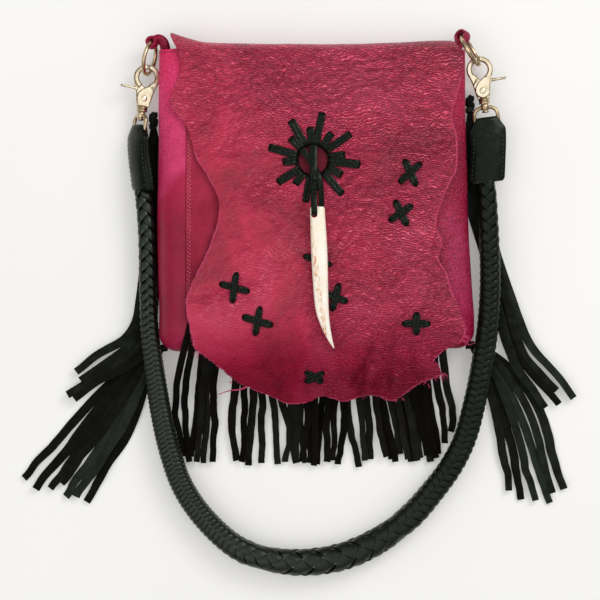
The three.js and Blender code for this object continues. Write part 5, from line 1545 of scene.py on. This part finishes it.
def make_snap_body(side, matrix):
    form = Form()
    jaw(form, 92, 250)
    form.plate(rounded(SHOULDER), -JAW_HALF, JAW_HALF, SHOULDER_BEVEL)
    form.plate(BODY_PLATE, -JAW_HALF, -PLATE_GAP, PLATE_BEVEL)
    rivet_head(form, 1)
    rivet_head(form, -1)
    form.plate(arc(SHANK_RADIUS, 0, 340, 17, RIVET_Y), -PLATE_GAP - 0.2, JAW_HALF + 0.2, 0.1)
    form.lathe(COLLAR, slot=1)
    form.lathe(PIN, 16, slot=1)
    form.lathe(PIN_HEAD, slot=1)
    form.moved(0, matrix)
    make(f"{side}_snap_hook", form, [BRASS, ANTIQUE], replaces=[f"{side}_snap_body"])


def make_snap_gate(side, matrix):
    form = Form()
    jaw(form, -62, 88)
    low = arc(5.9, 0, -180, 18, RIVET_Y)
    plate = [(9.0, -5.4), (7.6, -9.5), (6.5, -13), *low, (-5.5, -14), (-2.4, -9.6), (2.4, -6.2)]
    form.plate(plate, PLATE_GAP, JAW_HALF, PLATE_BEVEL)
    form.plate(LEVER, -1.2, JAW_HALF - 0.3, LEVER_BEVEL)
    form.moved(0, matrix)
    make(
        f"{side}_snap_gate_lever", form, [BRASS, ANTIQUE], body=f"{side}_gate",
        replaces=[f"{side}_snap_gate"],
    )


def make_snap_eye(side, matrix):
    half, top, low, corner, wire = 9.25, -30.3, -44, 3, 1.5
    edge = [
        (2.2, top), (6, top - 0.9), (half - 0.6, top - 3.4), (half, top - 6.5),
        (half, low + corner), (half - 0.9, low + 0.9), (half - corner, low),
    ]
    route = [*edge, (0, low), *[(-x, y) for x, y in reversed(edge)]]
    curve = Curve([Vector((x, y, 0)) for x, y in route])
    form = Form()
    form.ribbon(curve.points(72), 2 * wire, 2 * wire, UP, sides=14, square=1.0)
    form.lathe(EYE_COLLAR)
    form.moved(0, matrix)
    make(f"{side}_snap_swivel_eye", form, [ANTIQUE], replaces=[f"{side}_snap_eye"])


SLEEVE_TOP, SLEEVE_END = -38.2, 51.4
SLEEVE_HALF = Table(
    (0, 8.0), (0.8, 8.7), (2, 9.6), (4, 10.8), (6, 12.0), (8, 13.2), (9.2, 13.9), (10.2, 14.25), (12, 14.4),
    (30, 14.4), (SLEEVE_END - 3, 14.6), (SLEEVE_END - 1, 14.1), (SLEEVE_END, 13.0),
)
SLEEVE_THICK = Table((0, 2.6), (1.6, 3.8), (5.6, 4), (10, 4.4), (14, 4.8), (30, 6), (SLEEVE_END, 6.6))
SLEEVE_FLANGE, SLEEVE_SQUARE, SWELL_POWER = 1.9, 0.7, 2.2
GROOVE, GROOVE_WIDTH, SLEEVE_DENT = 0.55, 0.06, 0.35
SOCKET = 6.0
STITCH_INSET = 2.6


def make_sleeve(side, matrix, bend, roll):
    """Two flanges sewn round the strap's end, swollen in the middle, with a groove between them."""
    turn_it = turn_about("Y", roll)

    def place(x, along, z):
        aside = bend * smoothstep(along, 4, SLEEVE_END + 20)
        return turn_it @ Vector((x, 0, z)) + Vector((aside, SLEEVE_TOP - along, 0))

    shape = [(cos(turn), sin(turn)) for turn in circle(48)]

    def ring(along, shrink=1.0):
        half, thick = SLEEVE_HALF(along), SLEEVE_THICK(along)
        points = []
        for c, s in shape:
            across = squared(c, SLEEVE_SQUARE)
            swell = (thick - SLEEVE_FLANGE) * (1 - min(1, abs(across)) ** SWELL_POWER)
            edge = smoothstep(abs(s), 0.0, 0.22)
            groove = GROOVE * exp(-((s / GROOVE_WIDTH) ** 2))
            dent = SLEEVE_DENT * wave(across * 12, along, 9, 32 if s > 0 else 33)
            z = copysign((SLEEVE_FLANGE + swell) * edge, s) + dent * edge * 0.6 * (1 - abs(across) ** 4)
            points.append(place((half - groove) * across * shrink, along, z * shrink))
        return points

    form = Form()
    alongs = [0.0, 0.5, 1.2, 2.2] + [lerp(3.5, SLEEVE_END, k / 40) for k in range(41)]
    rings = [ring(0, 0.86)] + [ring(a, 1.0 if a > 0 else 0.95) for a in alongs]
    mouth = [place(SOCKET * c, SLEEVE_END, SOCKET * s) for c, s in shape]
    deep = [place(SOCKET * 0.96 * c, SLEEVE_END - 12, SOCKET * 0.96 * s) for c, s in shape]
    rings += [mouth, deep]
    form.rings(rings)
    for sign in (1, -1):
        for face in (1, -1):
            path = []
            for k in range(16):
                along = lerp(15, SLEEVE_END - 2.5, k / 15)
                half, thick = SLEEVE_HALF(along), SLEEVE_THICK(along)
                x = half - STITCH_INSET
                swell = (thick - SLEEVE_FLANGE) * (1 - (x / half) ** SWELL_POWER)
                path.append(place(sign * x, along, face * (SLEEVE_FLANGE + swell + 0.05)))
            up = (turn_it @ Vector((0, 0, face))).normalized()
            stitches(form, path, lambda share: up, spacing=3.4, length=2.2, radius=0.42, slot=1)
    form.moved(0, matrix)
    name = f"{side}_sleeve_leather"
    make(name, form, [SLEEVE, BLACK_THREAD], replaces=[f"{side}_sleeve"])


RING_RADIUS, RING_WIRE, RING_STEEP = 12.9, 1.6, 75
TAB_WIDTH, TAB_THICK, TAB_LEGS = 7.4, 2.2, 1.25


def make_ring_and_tab(side, facts):
    tilt = radians(facts["tilt"])
    seat = Vector(facts["place"]) + Vector((-sin(tilt), cos(tilt), 0)) * facts["seat"]
    major = (turn_about("Z", -facts["lean"]) @ turn_about("X", facts["rise"])) @ Vector((0, 1, 0))
    level = -major.cross(UP).normalized()
    steepest = level.cross(major).normalized()
    if steepest.z < 0:
        steepest.negate()
    steep = radians(RING_STEEP)
    minor = level * cos(steep) + steepest * sin(steep)
    centre = seat + major * RING_RADIUS
    form = Form()
    path, facing = [], []
    for turn in circle(64):
        out = major * cos(turn) + minor * sin(turn)
        path.append(centre + out * RING_RADIUS)
        facing.append(out)
    form.ribbon(path, 2 * RING_WIRE, 2 * RING_WIRE, facing, sides=14, square=1.0, loop=True)
    make(f"{side}_wire_ring", form, [ANTIQUE], replaces=[f"{side}_ring"])

    wire = seat + major * (2 * RING_RADIUS - 0.25)
    spine = Curve([wire, *[Vector(p) for p in facts["way"]]])

    def apart(share):
        """Which way the two legs of the tab lie apart; they turn between the ring and the mouth."""
        ahead = spine.ahead(share)
        aside = minor.cross(ahead).normalized()
        turn = radians(lerp(*facts["twist"], smoothstep(share, 0, 0.45)))
        return aside * cos(turn) + ahead.cross(aside) * sin(turn)

    legs = [lerp(facts["loop"] / spine.length, 1, k / 24) for k in range(25)]
    middle = [spine.at(share) + apart(share) * TAB_LEGS for share in reversed(legs)]
    facing = [apart(share) for share in reversed(legs)]
    for angle in range(60, 301, 12):
        turn = radians(angle)
        out = spine.ahead(0) * cos(turn) + apart(0) * sin(turn)
        middle.append(wire + out * facts["loop"])
        facing.append(out)
    middle += [spine.at(share) - apart(share) * TAB_LEGS for share in legs]
    facing += [-apart(share) for share in legs]
    form = Form()
    form.ribbon(
        middle, lambda at: TAB_WIDTH * (1 - 0.05 * sin(pi * at)), TAB_THICK, facing,
        sides=12, square=0.45,
    )
    make(f"{side}_tab_loop", form, [TAB], replaces=[f"{side}_tab"])


# Floor and soft studio light
FLOOR_HALF, FLOOR_GLOW = 4, 0.2


def make_floor():
    mesh = bpy.data.meshes.new("studio_floor")
    corners = [(x * FLOOR_HALF, y * FLOOR_HALF, 0) for x, y in ((-1, -1), (1, -1), (1, 1), (-1, 1))]
    mesh.from_pydata(corners, [], [(0, 1, 2, 3)])
    s = Shader("pale_floor")
    s.colour(s.ramp(s.noise(3, 2), (0.3, srgb(217, 216, 214)), (0.7, srgb(221, 220, 218))))
    glow = dict(Emission_Color=(1, 0.99, 0.97, 1), Emission_Strength=FLOOR_GLOW)
    mesh.materials.append(s.set(Roughness=0.85, Specular_IOR_Level=0.1, **glow))
    floor = add_object("studio_floor", mesh)


LIGHT_AIM = Vector((0, -0.08, 0))


def make_light(name, place, size, energy):
    data = bpy.data.lights.new(name, "AREA")
    data.shape = "DISK"
    data.size = size
    data.energy = energy
    light = add_object(name, data)
    light.location = place
    light.rotation_euler = (LIGHT_AIM - Vector(place)).to_track_quat("-Z", "Y").to_euler()


SKY_LEVELS = ((0.2, 0.2), (0.95, 1.0))  # share of the height and brightness there
SKY_STRENGTH = 1.12


def make_sky():
    world = bpy.data.worlds.new("studio_world")
    world.use_nodes = True
    sky = world.node_tree
    split = sky.nodes.new("ShaderNodeSeparateXYZ")
    fade = sky.nodes.new("ShaderNodeValToRGB")
    sky.links.new(sky.nodes.new("ShaderNodeTexCoord").outputs["Generated"], split.inputs[0])
    sky.links.new(split.outputs["Z"], fade.inputs["Fac"])
    sky.links.new(fade.outputs["Color"], sky.nodes["Background"].inputs["Color"])
    for element, (height, level) in zip(fade.color_ramp.elements, SKY_LEVELS):
        element.position = height
        element.color = (level, level, level, 1)
    sky.nodes["Background"].inputs["Strength"].default_value = SKY_STRENGTH
    bpy.context.scene.world = world
    bpy.context.scene.view_settings.view_transform = "Standard"


make_strap()
gusset_grid = make_gusset()
make_front_panel()
make_back_panel()
make_seam_stitches(gusset_grid)
make_flap()
make_frayed_edge()
make_lacing()
make_bone()
make_toggle_lace()
make_front_fringe()
make_tassels()
for side, facts in SIDES.items():
    hardware = Matrix.Translation(facts["place"]) @ turn_about("Z", facts["tilt"])
    hardware = hardware @ turn_about("X", facts["pitch"])
    hook = hardware @ turn_about("Y", facts["flip"])
    make_snap_body(side, hook)
    make_snap_gate(side, hook)
    make_snap_eye(side, hardware @ turn_about("Y", facts["roll"]))
    make_sleeve(side, hardware, facts["bend"], facts["roll"])
    make_ring_and_tab(side, facts)
make_floor()
make_light("key_softbox", (0.95, 0.95, 1.25), 0.9, 11)
make_light("fill_softbox", (-1.15, -0.5, 1.3), 1.2, 3)
make_sky()
